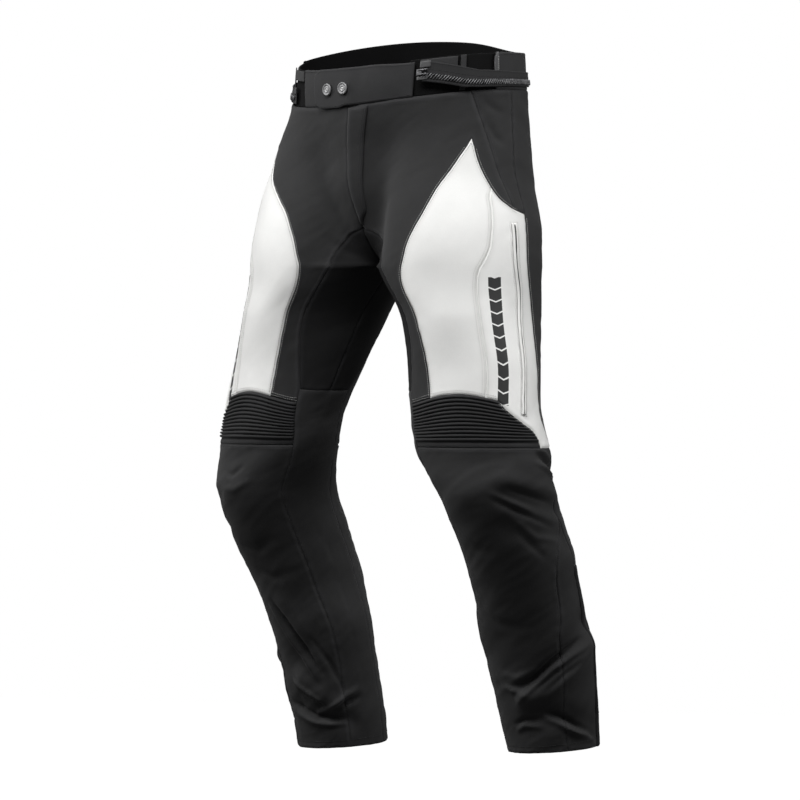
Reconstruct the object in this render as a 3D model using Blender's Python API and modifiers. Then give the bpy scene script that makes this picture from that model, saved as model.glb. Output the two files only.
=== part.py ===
"""Motorcycle trousers, worn-shape and empty, in the pose of a standing rider with bent knees.

+Z is up, the front of the garment faces -Y, the wearer's left is +X, and the origin is the middle of the
waist, where the garment is held. Every piece of cloth is a wall of its own, cut by seam lines out of one
form: a trunk that forks into two legs.
"""

from collections import namedtuple
from math import pi

import bpy
import numpy as np
from mathutils import Vector

# The form of the garment

# Heights are metres below (-) or above (+) the waist, and "side" is the left of the wearer.
FORK = -0.262          # the crotch point, where the trunk becomes two legs
FORK_TOP = -0.120      # the centre seams start to run under the body here
ARCH = 0.075           # how far below the fork the gap between the legs keeps widening fast

Trunk = namedtuple("Trunk", "height half_width front side_y back")
TRUNK = (
    Trunk(0.060, 0.187, -0.136, 0.000, 0.141),
    Trunk(0.000, 0.189, -0.139, 0.000, 0.142),
    Trunk(-0.035, 0.193, -0.139, 0.000, 0.146),
    Trunk(-0.080, 0.203, -0.135, 0.000, 0.142),
    Trunk(-0.140, 0.211, -0.133, -0.004, 0.144),
    Trunk(-0.200, 0.219, -0.128, -0.010, 0.146),
    Trunk(-0.262, 0.229, -0.124, -0.018, 0.142),
)

Leg = namedtuple("Leg", "height outer inner y half_depth turn slope")
LEG = (
    Leg(0.060, 0.195, 0.000, -0.004, 0.120, 0, 0.00),
    Leg(-0.080, 0.212, 0.000, -0.014, 0.128, 0, 0.00),
    Leg(-0.200, 0.233, 0.000, -0.027, 0.129, 0, 0.00),
    Leg(-0.262, 0.241, 0.022, -0.032, 0.124, 0, 0.00),
    Leg(-0.330, 0.246, 0.049, -0.036, 0.116, 6, 0.00),
    Leg(-0.402, 0.265, 0.067, -0.051, 0.095, 12, 0.00),
    Leg(-0.474, 0.281, 0.083, -0.066, 0.082, 15, 0.00),
    Leg(-0.546, 0.300, 0.100, -0.063, 0.081, 15, 0.00),
    Leg(-0.594, 0.296, 0.127, -0.052, 0.092, 15, 0.02),
    Leg(-0.642, 0.292, 0.133, -0.027, 0.090, 15, 0.06),
    Leg(-0.690, 0.290, 0.133, 0.001, 0.085, 15, 0.12),
    Leg(-0.738, 0.283, 0.131, 0.022, 0.078, 15, 0.18),
    Leg(-0.786, 0.284, 0.122, 0.038, 0.070, 15, 0.22),
    Leg(-0.834, 0.285, 0.124, 0.055, 0.065, 15, 0.24),
    Leg(-0.882, 0.279, 0.128, 0.068, 0.066, 15, 0.25),
    Leg(-0.930, 0.273, 0.130, 0.080, 0.066, 15, 0.20),
    Leg(-1.000, 0.267, 0.139, 0.094, 0.064, 15, 0.02),
)


def smooth(t):
    """A step from 0 to 1 with no corner at either end."""
    t = np.clip(t, 0, 1)
    return t * t * (3 - 2 * t)


def along(table, column, height):
    """A column of a table at any height, on a smooth curve through its rows, which run downwards."""
    x = -np.array([row.height for row in table])
    y = np.array([getattr(row, column) for row in table], float)
    slope = np.gradient(y, x)
    at = np.clip(-np.asarray(height, float), x[0], x[-1])
    i = np.clip(np.searchsorted(x, at) - 1, 0, len(x) - 2)
    span = x[i + 1] - x[i]
    t = (at - x[i]) / span
    return (
        (1 + 2 * t) * (1 - t) ** 2 * y[i]
        + t * (1 - t) ** 2 * span * slope[i]
        + t * t * (3 - 2 * t) * y[i + 1]
        - t * t * (1 - t) * span * slope[i + 1]
    )


def trunk_ring(around, height):
    """Half a ring of the trunk: around runs from 0 at centre front, by the side, to 1 at centre back."""
    angle = pi * (around - 0.5)
    side_y = along(TRUNK, "side_y", height)
    forward = side_y - along(TRUNK, "front", height)
    backward = along(TRUNK, "back", height) - side_y
    depth = np.where(angle < 0, forward, backward)
    return along(TRUNK, "half_width", height) * np.cos(angle), side_y + depth * np.sin(angle)


def leg_ring(around, height):
    """A whole ring of a leg: around runs from 0 at the inseam, by the front, side and back, to 1."""
    angle = 2 * pi * (around - 0.5)
    outer = along(LEG, "outer", height)
    drop = np.clip((FORK - height) / ARCH, 0, 1)
    inner = along(LEG, "inner", height)
    # The gap between the legs opens fast at the fork, while the leg's middle moves out slowly.
    centre = (outer + inner * smooth(drop)) / 2
    reach = np.where(np.cos(angle) > 0, outer - centre, centre - inner * np.sqrt(1 - (1 - drop) ** 2))
    turn = np.radians(along(LEG, "turn", height))
    across = reach * np.cos(angle)
    deep = along(LEG, "half_depth", height) * np.sin(angle)
    x = centre + across * np.cos(turn) - deep * np.sin(turn)
    y = along(LEG, "y", height) + across * np.sin(turn) + deep * np.cos(turn)
    return x, y


def form(around, height):
    """A point of the left half of the cloth's outer face."""
    around, height = np.broadcast_arrays(np.asarray(around, float), np.asarray(height, float))
    above = height > FORK
    wrapped = np.where(above, np.where(around > 1, 2 - around, np.abs(around)), around % 1.0)
    mirrored = above & ((around < 0) | (around > 1))
    trunk_x, trunk_y = trunk_ring(wrapped, height)
    leg_x, leg_y = leg_ring(wrapped, height)
    drop = np.clip((FORK_TOP - height) / (FORK_TOP - FORK), 0, 1)
    at_ends = 1 - np.sqrt(1 - drop ** 2)
    at_side = smooth((0.05 - height) / (0.05 - FORK))
    share = smooth(np.minimum(wrapped, 1 - wrapped) / 0.22)
    leg_share = np.where(above, at_ends + (at_side - at_ends) * share, 1.0)
    x = trunk_x + (leg_x - trunk_x) * leg_share
    y = trunk_y + (leg_y - trunk_y) * leg_share
    # The waist is cut low in front and high behind, and the lower leg's rings are square to the shin.
    s = np.clip(y / 0.145, -1, 1)
    rise = (0.010 * s + 0.009 * s ** 3) * smooth((height + 0.200) / 0.200)
    z = height + rise + along(LEG, "slope", height) * (y - along(LEG, "y", height)) * ~above
    return np.stack([np.where(mirrored, -x, x), y, z], axis=-1)


# How the worn cloth is pulled out of the plain form: largest folds, and a slight turn of both legs

Fold = namedtuple("Fold", "side around_a height_a around_b height_b half_width rise")
FOLDS = (
    Fold(+1, 0.43, -0.540, 0.54, -0.562, 0.014, -0.004),
    Fold(+1, 0.33, -0.572, 0.48, -0.592, 0.014, 0.004),
    Fold(+1, 0.32, -0.596, 0.49, -0.616, 0.014, -0.005),
    Fold(+1, 0.30, -0.642, 0.46, -0.655, 0.016, -0.003),
    Fold(+1, 0.48, -0.790, 0.27, -0.850, 0.016, -0.006),
    Fold(+1, 0.47, -0.822, 0.22, -0.884, 0.015, 0.006),
    Fold(+1, 0.45, -0.935, 0.27, -0.902, 0.016, -0.005),
    Fold(+1, 0.13, -0.850, 0.24, -0.876, 0.014, 0.003),
    Fold(-1, 0.21, -0.747, 0.13, -0.862, 0.015, 0.004),
    Fold(-1, 0.23, -0.856, 0.12, -0.894, 0.014, 0.005),
    Fold(-1, 0.26, -0.895, 0.06, -0.930, 0.015, -0.005),
    Fold(-1, 0.32, -0.600, 0.47, -0.620, 0.015, -0.004),
    Fold(+1, 0.60, -0.560, 0.84, -0.548, 0.016, -0.005),
    Fold(-1, 0.60, -0.552, 0.84, -0.562, 0.016, -0.005),
    Fold(+1, 0.62, -0.600, 0.80, -0.592, 0.016, 0.004),
    Fold(-1, 0.62, -0.596, 0.80, -0.604, 0.016, 0.004),
    Fold(+1, 0.56, -0.905, 0.84, -0.880, 0.016, -0.004),
    Fold(-1, 0.56, -0.890, 0.84, -0.912, 0.016, -0.004),
)
LEG_GIRTH = 0.50       # metres of cloth for one unit of "around", for the length of a fold


def worn(side, around, height):
    """Turn, folds and knee arch: the around and height on the form, and how far the cloth stands out."""
    around, height = np.broadcast_arrays(np.asarray(around, float), np.asarray(height, float))
    arch = 0.018 * (1 - np.exp(-(((around % 1.0) - 0.25) / 0.11) ** 2))
    arch = arch * smooth((height + 0.526) / 0.079) * smooth((-0.370 - height) / 0.077)
    lift = np.zeros(around.shape)
    for fold in FOLDS:
        if fold.side != side:
            continue
        ax, ay = fold.around_a * LEG_GIRTH, fold.height_a
        dx, dy = fold.around_b * LEG_GIRTH - ax, fold.height_b - ay
        px, py = (around % 1.0) * LEG_GIRTH - ax, height - ay
        t = (px * dx + py * dy) / (dx * dx + dy * dy)
        off = np.hypot(px - np.clip(t, 0, 1) * dx, py - np.clip(t, 0, 1) * dy)
        lift += fold.rise * np.exp(-(off / fold.half_width) ** 2)
    twist = 0.030 * side * np.sin(pi * (around % 1.0)) * smooth((-0.100 - height) / 0.090)
    return around + twist, height - arch, lift


def outward(around, height):
    """The direction that faces out of the left half's form."""
    across = form(around + 0.004, height) - form(around - 0.004, height)
    up = form(around, height + 0.003) - form(around, height - 0.003)
    n = np.cross(across, up)
    n = n / np.maximum(np.linalg.norm(n, axis=-1, keepdims=True), 1e-12)
    here = form(around, height)
    at_fork = np.linalg.norm(here - np.array([0.0, -0.029, FORK]), axis=-1, keepdims=True)
    n = n + np.exp(-(at_fork / 0.012) ** 2) * 3 * np.array([0.0, 0.0, -1.0])
    return n / np.linalg.norm(n, axis=-1, keepdims=True)


WAIST_TIP = 0.030      # the worn waist sits a little higher on the left than on the right

# The worn rim isn't level: it is pulled up at the front left and the back right, in a few slow waves.
Wave = namedtuple("Wave", "turns sine cosine")
RIM = (
    Wave(1, 0.0000, 0.0015),
    Wave(2, 0.0070, 0.0000),
    Wave(3, -0.0020, 0.0000),
)
# Two places where the rim rises further: turn from centre front towards the left, and width, in radians.
Rise = namedtuple("Rise", "turn width rise")
RIM_RISES = (
    Rise(-1.87, 0.55, 0.0055),
    Rise(2.97, 0.42, 0.0040),
)
HIP_SWAY = 0.0065      # the hips stand a little to the wearer's right of the waist and the knees


def tipped(points, height):
    points = points.copy()
    turn = np.arctan2(points[..., 0], -points[..., 1])
    lift = WAIST_TIP * points[..., 0]
    for wave in RIM:
        lift = lift + wave.sine * np.sin(wave.turns * turn) + wave.cosine * np.cos(wave.turns * turn)
    for place in RIM_RISES:
        off = (turn - place.turn + pi) % (2 * pi) - pi
        lift = lift + place.rise * np.exp(-(off / place.width) ** 2)
    points[..., 2] += lift * smooth((height + 0.200) / 0.200)
    points[..., 0] -= HIP_SWAY * smooth((-0.010 - height) / 0.070) * smooth((height + 0.210) / 0.090)
    return points


def cloth(side, around, height, out=0.0):
    """Points and directions of the worn cloth for one leg's half: side is +1 left or -1 right."""
    a, h, lift = worn(side, around, height)
    n = outward(a, h)
    p = form(a, h) + n * (lift + out)[..., None]
    flip = np.array([side, 1.0, 1.0])
    return tipped(p * flip, h), n * flip


# The seam lines, as the place around the half garment for a height

APEX, YOKE_END, POCKET_END, WHITE_TOP = -0.078, -0.147, -0.178, -0.185
BAND_SEAM, CROTCH_SEAM, GUSSET_END = -0.010, -0.207, -0.430
RIBS_TOP, RIBS_FOOT, KNEE_SEAM, CALF_TOP, HEM = -0.447, -0.516, -0.526, -0.600, -0.963

ROWS = (
    -0.010, -0.032, -0.055, -0.078, -0.102, -0.125, -0.147, -0.160, -0.178, -0.185, -0.207, -0.214,
    -0.226, -0.243, -0.262, -0.274, -0.292, -0.318, -0.348, -0.378, -0.406, -0.430, -0.447, -0.470,
    -0.493, -0.516, -0.526, -0.545, -0.572, -0.600, -0.625, -0.650, -0.675, -0.702, -0.730, -0.760,
    -0.790, -0.820, -0.850, -0.878, -0.906, -0.935, -0.963,
)

Seam = namedtuple("Seam", "height around")
WHITE_FRONT_EDGE = tuple(Seam(*row) for row in (
    (-0.078, 0.375), (-0.100, 0.352), (-0.120, 0.330), (-0.150, 0.292), (-0.190, 0.257), (-0.225, 0.237),
    (-0.250, 0.228), (-0.275, 0.215), (-0.310, 0.200), (-0.350, 0.191), (-0.390, 0.186), (-0.447, 0.178),
))
WHITE_TOP_EDGE = tuple(Seam(*row) for row in (
    (-0.078, 0.375), (-0.102, 0.392), (-0.129, 0.409), (-0.147, 0.419), (-0.160, 0.428), (-0.178, 0.460),
    (-0.185, 0.491),
))
POCKET_LINE = tuple(Seam(*row) for row in (
    (-0.010, 0.359), (-0.035, 0.382), (-0.072, 0.414), (-0.111, 0.441), (-0.142, 0.4525), (-0.178, 0.460),
))
SIDE_SEAM = tuple(Seam(*row) for row in (
    (-0.010, 0.510), (-0.100, 0.505), (-0.150, 0.496), (-0.185, 0.491), (-0.447, 0.490), (-0.470, 0.492),
    (-0.493, 0.510), (-0.526, 0.520),
))
FRONT_SIDE_SEAM = tuple(Seam(*row) for row in (
    (-0.147, 0.419), (-0.162, 0.407), (-0.229, 0.400), (-0.250, 0.388), (-0.272, 0.370), (-0.366, 0.338),
    (-0.447, 0.314),
))
STRIP_EDGE = tuple(Seam(*row) for row in (
    (-0.447, 0.340), (-0.461, 0.362), (-0.482, 0.403), (-0.498, 0.431), (-0.516, 0.443), (-0.526, 0.445),
))
GUSSET_FRONT = tuple(Seam(*row) for row in (
    (-0.207, 0.000), (-0.214, 0.048), (-0.226, 0.090), (-0.243, 0.132), (-0.262, 0.152), (-0.290, 0.152),
    (-0.350, 0.145), (-0.390, 0.128), (-0.430, 0.097),
))
GUSSET_BACK = tuple(Seam(*row) for row in (
    (-0.207, 1.000), (-0.214, 0.955), (-0.226, 0.918), (-0.243, 0.885), (-0.262, 0.865), (-0.290, 0.860),
    (-0.350, 0.868), (-0.390, 0.890), (-0.430, 0.930),
))
KNEE_INNER_EDGE = tuple(Seam(*row) for row in (
    (-0.430, 0.097), (-0.447, 0.096), (-0.516, 0.087), (-0.600, 0.084), (-0.963, 0.080),
))
SHIN_OUTER_SEAM = tuple(Seam(*row) for row in (
    (-0.526, 0.520), (-0.560, 0.500), (-0.600, 0.495), (-0.625, 0.490), (-0.650, 0.474), (-0.675, 0.430),
    (-0.700, 0.403), (-0.725, 0.392), (-0.750, 0.388), (-0.775, 0.376), (-0.802, 0.356), (-0.855, 0.343),
    (-0.963, 0.340),
))
CALF_ZIP_SEAM = tuple(Seam(*row) for row in (
    (-0.526, 0.520), (-0.560, 0.500), (-0.600, 0.495), (-0.650, 0.497), (-0.700, 0.500), (-0.963, 0.500),
))


def at(seam, height):
    """Where a seam runs at a height. Straight between the rows that the cut pieces share."""
    rows = np.array(ROWS)
    knots = np.interp(-rows, [-point.height for point in seam], [point.around for point in seam])
    return float(np.interp(-height, -rows, knots))


def rows_between(top, bottom):
    return [row for row in ROWS if bottom - 1e-6 <= row <= top + 1e-6]


# Cutting and sewing: a piece is one or more blocks of cloth that share their edges

CLOTH = 0.0022         # thickness of the lined shell
SEAM_GAP = 0.0003      # clear space between two pieces at a seam

collection = bpy.data.collections.new("motorcycle_trousers")


def clear_scene():
    for old in list(bpy.data.objects):
        bpy.data.objects.remove(old, do_unlink=True)


def material(name, colour, roughness, metallic=0.0):
    made = bpy.data.materials.new(name)
    made.use_nodes = True
    shader = made.node_tree.nodes["Principled BSDF"]
    shader.inputs["Base Color"].default_value = (*colour, 1.0)
    shader.inputs["Roughness"].default_value = roughness
    shader.inputs["Metallic"].default_value = metallic
    return made


def add_object(name, vertices, faces, colour, roughness=0.85, metallic=0.0):
    mesh = bpy.data.meshes.new(name)
    mesh.from_pydata([tuple(v) for v in vertices], [], faces)
    mesh.update()
    mesh.materials.append(material(name + "_material", colour, roughness, metallic))
    made = bpy.data.objects.new(name, mesh)
    collection.objects.link(made)
    return made


def block(heights, left, right, columns):
    """A grid of places (around, height) between two lines."""
    grid = []
    for height in heights:
        a = left(height) if callable(left) else left
        b = right(height) if callable(right) else right
        grid.append([(a + (b - a) * i / columns, height) for i in range(columns + 1)])
    return grid


def cut_piece(name, side, blocks, colour, out=0.0, thickness=CLOTH, relief=None, roughness=0.85):
    """One cut of cloth as a closed wall, held back from its seams all round."""
    places = {}
    quads = []
    for grid in blocks:
        for upper, lower in zip(grid, grid[1:]):
            for i in range(len(upper) - 1):
                corners = [lower[i], lower[i + 1], upper[i + 1], upper[i]]
                face = []
                for around, height in corners:
                    key = (round(around, 6), round(height, 6))
                    number = places.setdefault(key, len(places))
                    if number not in face:
                        face.append(number)
                if len(face) >= 3:
                    quads.append(face if side > 0 else face[::-1])
    keys = np.array(list(places))
    outer, normal = cloth(side, keys[:, 0], keys[:, 1], out)
    if relief is not None:
        raised = outer + normal * np.array([relief(a, h) for a, h in keys])[:, None]
    else:
        raised = outer.copy()
    # Edges that only one face uses are the cut's border.
    used = {}
    for face in quads:
        for a, b in zip(face, face[1:] + face[:1]):
            used[(a, b)] = True
    border = [(a, b) for a, b in used if (b, a) not in used]
    inward = {}
    for a, b in border:
        edge = outer[b] - outer[a]
        for end in (a, b):
            m = np.cross(normal[end], edge)
            inward.setdefault(end, []).append(m / np.linalg.norm(m))
    back = np.zeros(outer.shape)
    for end, sides in inward.items():
        both = sides[0] + sides[-1]
        back[end] = both / max(1 + float(np.dot(sides[0], sides[-1])), 0.35) * SEAM_GAP / 2
    inner = outer + back - normal * thickness
    raised = raised + back
    n = len(outer)
    faces = [tuple(face) for face in quads]
    faces += [tuple(v + n for v in reversed(face)) for face in quads]
    for a, b in border:
        # Both pieces at a seam split their edge walls alike, from the upper outer corner.
        if tuple(keys[a][::-1]) > tuple(keys[b][::-1]):
            faces += [(b, a, b + n), (a, a + n, b + n)]
        else:
            faces += [(b, a, a + n), (b, a + n, b + n)]
    return add_object(name, np.concatenate([raised, inner]), faces, colour, roughness)


BLACK = (0.026, 0.026, 0.027)
DARK = (0.016, 0.016, 0.017)
WHITE = (0.72, 0.72, 0.71)
GREY = (0.10, 0.10, 0.105)
METAL = (0.30, 0.30, 0.31)


def rib_relief(around, height):
    """Twelve stretch ribs round the knee, level with the cloth at both of their ends."""
    pitch = (RIBS_TOP - RIBS_FOOT) / 12
    place = (RIBS_TOP - height) / pitch
    if place < 0.01 or place > 11.99:
        return 0.0
    return 0.0030 if abs(place % 1.0 - 0.5) < 0.25 else -0.0002


def sew_leg(side):
    """Every piece of one half of the garment, from the waistband's seam to the hem."""
    tail = "_left" if side > 0 else "_right"

    def line(seam):
        return lambda height: at(seam, height)

    white_front, white_top, pocket = line(WHITE_FRONT_EDGE), line(WHITE_TOP_EDGE), line(POCKET_LINE)
    side_seam, front_side, strip = line(SIDE_SEAM), line(FRONT_SIDE_SEAM), line(STRIP_EDGE)
    gusset_front, gusset_back, knee_inner = line(GUSSET_FRONT), line(GUSSET_BACK), line(KNEE_INNER_EDGE)
    shin_outer, calf_zip = line(SHIN_OUTER_SEAM), line(CALF_ZIP_SEAM)

    def towards_apex(height):
        return 0.375 - 0.035 * (height - APEX) / (BAND_SEAM - APEX)

    def inner_front(height):
        return 0.0 if height > CROTCH_SEAM else gusset_front(height)

    def back_inner(height):
        if height > CROTCH_SEAM:
            return 1.0
        return gusset_back(height) if height > GUSSET_END else 0.93

    cut_piece("front_panel" + tail, side, [
        block(rows_between(BAND_SEAM, APEX), 0.0, towards_apex, 6),
        block(rows_between(BAND_SEAM, APEX), towards_apex, pocket, 1),
        block(rows_between(APEX, RIBS_TOP), inner_front, white_front, 6),
        block(rows_between(APEX, POCKET_END), white_top, pocket, 1),
    ], BLACK)

    def hip_left(height):
        return pocket(height) if height > POCKET_END else white_top(height)

    cut_piece("hip_panel" + tail, side, [
        block(rows_between(BAND_SEAM, WHITE_TOP), hip_left, side_seam, 4),
    ], BLACK)

    def white_right(height):
        return white_top(height) if height > YOKE_END else front_side(height)

    cut_piece("thigh_panel" + tail, side, [
        block(rows_between(APEX, RIBS_TOP), white_front, white_right, 5),
    ], WHITE)

    def cargo_right(height):
        return white_top(height) if height > WHITE_TOP else side_seam(height)

    def strip_start(height):
        return front_side(height) + (cargo_right(height) - front_side(height)) * 0.026 / 0.176

    cut_piece("side_panel" + tail, side, [
        block(rows_between(YOKE_END, RIBS_TOP), front_side, strip_start, 1),
        block(rows_between(YOKE_END, RIBS_TOP), strip_start, cargo_right, 3),
        block(rows_between(RIBS_TOP, KNEE_SEAM), strip, side_seam, 3),
    ], WHITE)

    cut_piece("back_panel" + tail, side, [
        block(rows_between(BAND_SEAM, KNEE_SEAM), side_seam, back_inner, 7),
    ], BLACK)

    cut_piece("inner_thigh_front" + tail, side, [
        block(rows_between(CROTCH_SEAM, GUSSET_END), 0.0, gusset_front, 3),
    ], DARK)

    cut_piece("inner_thigh_back" + tail, side, [
        block(rows_between(CROTCH_SEAM, GUSSET_END), gusset_back, 1.0, 3),
    ], DARK)

    rib_rows = [RIBS_TOP - i * (RIBS_TOP - RIBS_FOOT) / 24 for i in range(25)] + [KNEE_SEAM]
    cut_piece("knee_ribs" + tail, side, [
        block(rib_rows, knee_inner, strip, 6),
    ], BLACK, relief=rib_relief)

    def inner_right(height):
        return 1.0 + knee_inner(height)

    cut_piece("inner_leg" + tail, side, [
        block(rows_between(GUSSET_END, HEM), 0.93, inner_right, 4),
    ], BLACK)

    strip_share = strip(KNEE_SEAM) - knee_inner(KNEE_SEAM)
    strip_share = strip_share / (side_seam(KNEE_SEAM) - knee_inner(KNEE_SEAM))

    def below_strip(height):
        return knee_inner(height) + (shin_outer(height) - knee_inner(height)) * strip_share

    cut_piece("shin_panel" + tail, side, [
        block(rows_between(KNEE_SEAM, HEM), knee_inner, below_strip, 6),
        block(rows_between(KNEE_SEAM, HEM), below_strip, shin_outer, 3),
    ], BLACK)

    cut_piece("calf_outer" + tail, side, [
        block(rows_between(CALF_TOP, HEM), shin_outer, calf_zip, 3),
    ], BLACK)

    cut_piece("calf_back" + tail, side, [
        block(rows_between(KNEE_SEAM, HEM), calf_zip, 0.93, 7),
    ], BLACK)


# The waist: "around" here goes the whole way, 0 centre front, 1 centre back, below 0 on the right

BAND_TOP = 0.045
BAND_FOOT = -0.0097
BAND = 0.0030          # thickness of the folded and stiffened band
FRONT_END, BACK_START = 0.190, 0.445
TAB_END = -0.123


def waist_point(around, height, out):
    around, height, out = (np.asarray(value, float) for value in (around, height, out))
    return tipped(form(around, height) + outward(around, height) * out[..., None], height)


def waist_piece(name, start, end, columns, foot, top, out, thickness, colour, rows=1, puff=0.0):
    """A strip that runs round the waist. Foot, top and out may change along it."""
    def value(thing, around):
        return thing(around) if callable(thing) else thing

    vertices = []
    for depth in (0.0, thickness):
        for i in range(columns + 1):
            around = start + (end - start) * i / columns
            for j in range(rows + 1):
                t = j / rows
                height = value(foot, around) + (value(top, around) - value(foot, around)) * t
                bulge = puff * 4 * t * (1 - t) if depth == 0 else 0.0
                vertices.append(waist_point(around, height, value(out, around) + bulge - depth))
    n = (columns + 1) * (rows + 1)

    def at_grid(i, j):
        return i * (rows + 1) + j

    faces = []
    for i in range(columns):
        for j in range(rows):
            quad = (at_grid(i, j), at_grid(i + 1, j), at_grid(i + 1, j + 1), at_grid(i, j + 1))
            faces.append(quad)
            faces.append(tuple(v + n for v in reversed(quad)))
    for i in range(columns):
        a, b = at_grid(i, 0), at_grid(i + 1, 0)
        faces.append((b, a, a + n, b + n))
        a, b = at_grid(i, rows), at_grid(i + 1, rows)
        faces.append((a, b, b + n, a + n))
    for j in range(rows):
        a, b = at_grid(0, j), at_grid(0, j + 1)
        faces.append((a, b, b + n, a + n))
        a, b = at_grid(columns, j), at_grid(columns, j + 1)
        faces.append((b, a, a + n, b + n))
    return add_object(name, vertices, faces, colour, 0.8)


def tab_out(around):
    return 0.0048 + (0.0008 - 0.0048) * float(smooth((around + 0.004) / 0.045))


def tab_foot(around):
    rounded = float(smooth((-0.095 - around) / 0.028))
    return BAND_FOOT - 0.0028 * float(smooth((-0.006 - around) / 0.02)) + 0.006 * rounded


def tab_top(around):
    rounded = float(smooth((-0.095 - around) / 0.028))
    return BAND_TOP - 0.006 * rounded - 0.0045 * float(smooth((around - 0.060) / 0.120))


Tape = namedtuple("Tape", "around foot top")
ZIP_TAPE = (
    Tape(0.217, 0.0106, 0.0407),
    Tape(0.270, 0.0040, 0.0340),
    Tape(0.335, -0.0050, 0.0250),
    Tape(0.378, -0.0065, 0.0195),
    Tape(0.530, -0.0055, 0.0165),
    Tape(1.470, -0.0055, 0.0165),
    Tape(1.620, -0.0055, 0.0175),
    Tape(1.750, -0.0060, 0.0180),
)
TAPE = 0.0016
TAPE_FREE, TAPE_SEWN, TAPE_CLOSE = 0.0085, 0.0034, 0.0018


def tape_out(around):
    """The tape is sewn to the back band. It stands free of the recessed left side, and lies in the right."""
    free = float(smooth((0.465 - around) / 0.10))
    close = float(smooth((around - 1.562) / 0.05))
    return TAPE_SEWN + (TAPE_FREE - TAPE_SEWN) * free + (TAPE_CLOSE - TAPE_SEWN) * close


def chain_out(around):
    return tape_out(around) + 0.0026


def tape_line(column):
    def line(around):
        stations = [row.around for row in ZIP_TAPE]
        return float(np.interp(around, stations, [getattr(row, column) for row in ZIP_TAPE]))
    return line


def tape_share(share):
    return lambda around: tape_line("foot")(around) * (1 - share) + tape_line("top")(around) * share


CapProfile = namedtuple("CapProfile", "radius rise")
CAP = (
    CapProfile(0.0000, 0.0022),
    CapProfile(0.0050, 0.0022),
    CapProfile(0.0066, 0.0028),
    CapProfile(0.0082, 0.0020),
    CapProfile(0.0082, 0.0006),
    CapProfile(0.0072, 0.0000),
    CapProfile(0.0000, 0.0000),
)
CAP_STANDS_AT = 0.0064


def snap_cap(name, around, height):
    """A pressed metal cap: a low dome with a rolled rim, turned from its profile."""
    mesh = bpy.data.meshes.new(name)
    corners = [(row.radius, 0.0, row.rise) for row in CAP]
    mesh.from_pydata(corners, [(i, i + 1) for i in range(len(CAP) - 1)], [])
    mesh.materials.append(material(name + "_material", METAL, 0.4, 1.0))
    made = bpy.data.objects.new(name, mesh)
    collection.objects.link(made)
    turned = made.modifiers.new("turned", "SCREW")
    turned.axis = "Z"
    turned.steps = turned.render_steps = 16
    turned.use_merge_vertices = True
    turned.merge_threshold = 0.0001
    turned.use_smooth_shade = True
    made.location = waist_point(around, height, CAP_STANDS_AT)
    made.rotation_euler = Vector(outward(around, height)).to_track_quat("Z", "Y").to_euler()
    return made


def sew_waist():
    """The band in its parts, its closing tab, and the zip that joins the trousers to a jacket."""
    waist_piece("band_front_left", TAB_END, FRONT_END, 16, tab_foot, tab_top, tab_out, BAND, BLACK, 2, 0.0008)
    waist_piece("band_front_right", -FRONT_END, -0.005, 12, BAND_FOOT, BAND_TOP, 0.0, BAND, BLACK, 2, 0.0008)
    waist_piece("band_back", BACK_START, 2 - BACK_START, 32, BAND_FOOT, BAND_TOP, 0.0, BAND, BLACK, 2, 0.0008)
    for side, tail in ((+1, "_left"), (-1, "_right")):
        def both(a, b):
            return (a, b) if side > 0 else (-b, -a)
        waist_piece("band_side" + tail, *both(0.1750, 0.4600), 14, BAND_FOOT, 0.044, -0.0045, 0.0024, DARK)
        waist_piece("adjuster_strap" + tail, *both(0.2050, 0.3150), 6, 0.028, 0.042, -0.0015, 0.0018, BLACK)
        waist_piece("belt_loop" + tail, *both(0.3240, 0.3420), 1, -0.008, 0.0435, -0.0016, 0.0018, BLACK)
    waist_piece("connection_zip_tape", 0.217, 1.750, 40, tape_line("foot"), tape_line("top"),
                tape_out, TAPE, BLACK)
    waist_piece("connection_zip_chain", 0.217, 1.750, 40, tape_share(0.14), tape_share(0.46),
                chain_out, 0.0018, GREY)
    waist_piece("connection_zip_box", 0.1990, 0.2163, 1, 0.0180, 0.0300, 0.0112, 0.0046, GREY)
    snap_cap("snap_cap_outer", -0.064, 0.0155)
    snap_cap("snap_cap_inner", -0.010, 0.0155)

    def flap_edge(height):
        return 0.058 + (0.026 - 0.058) * (-0.0135 - height) / 0.1865

    heights = [-0.0135 - 0.1865 * i / 10 for i in range(11)]
    cut_piece("fly_flap", +1, [block(heights, 0.002, flap_edge, 2)], BLACK, out=0.0019, thickness=0.0016)


# What lies on the legs: the welted zip of the cargo pocket, and the zip that opens the hem

CARGO_ZIP = tuple(Seam(*row) for row in (
    (-0.198, 0.454), (-0.225, 0.456), (-0.280, 0.456), (-0.350, 0.440), (-0.463, 0.408),
))


def sew_leg_zips(side):
    tail = "_left" if side > 0 else "_right"

    def cargo(offset):
        return lambda height: float(np.interp(-height, [-s.height for s in CARGO_ZIP],
                                              [s.around for s in CARGO_ZIP])) + offset

    heights = [-0.198 - 0.265 * i / 14 for i in range(15)]
    cut_piece("cargo_zip" + tail, side, [block(heights, cargo(-0.0065), cargo(0.0065), 1)], WHITE,
              out=0.0025, thickness=0.0016)
    cut_piece("calf_zip" + tail, side, [block(rows_between(-0.702, HEM), 0.490, 0.512, 2)], BLACK,
              out=0.0026, thickness=0.0016)


# Build

clear_scene()
bpy.context.scene.collection.children.link(collection)
for side in (+1, -1):
    sew_leg(side)
    sew_leg_zips(side)
sew_waist()
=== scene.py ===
"""Motorcycle trousers, empty and filled out as worn: the looks of the shell, its trims and its sewing."""

from math import pi, radians

import bpy
import numpy as np
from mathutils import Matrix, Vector, kdtree, noise
from mathutils.bvhtree import BVHTree


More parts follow.
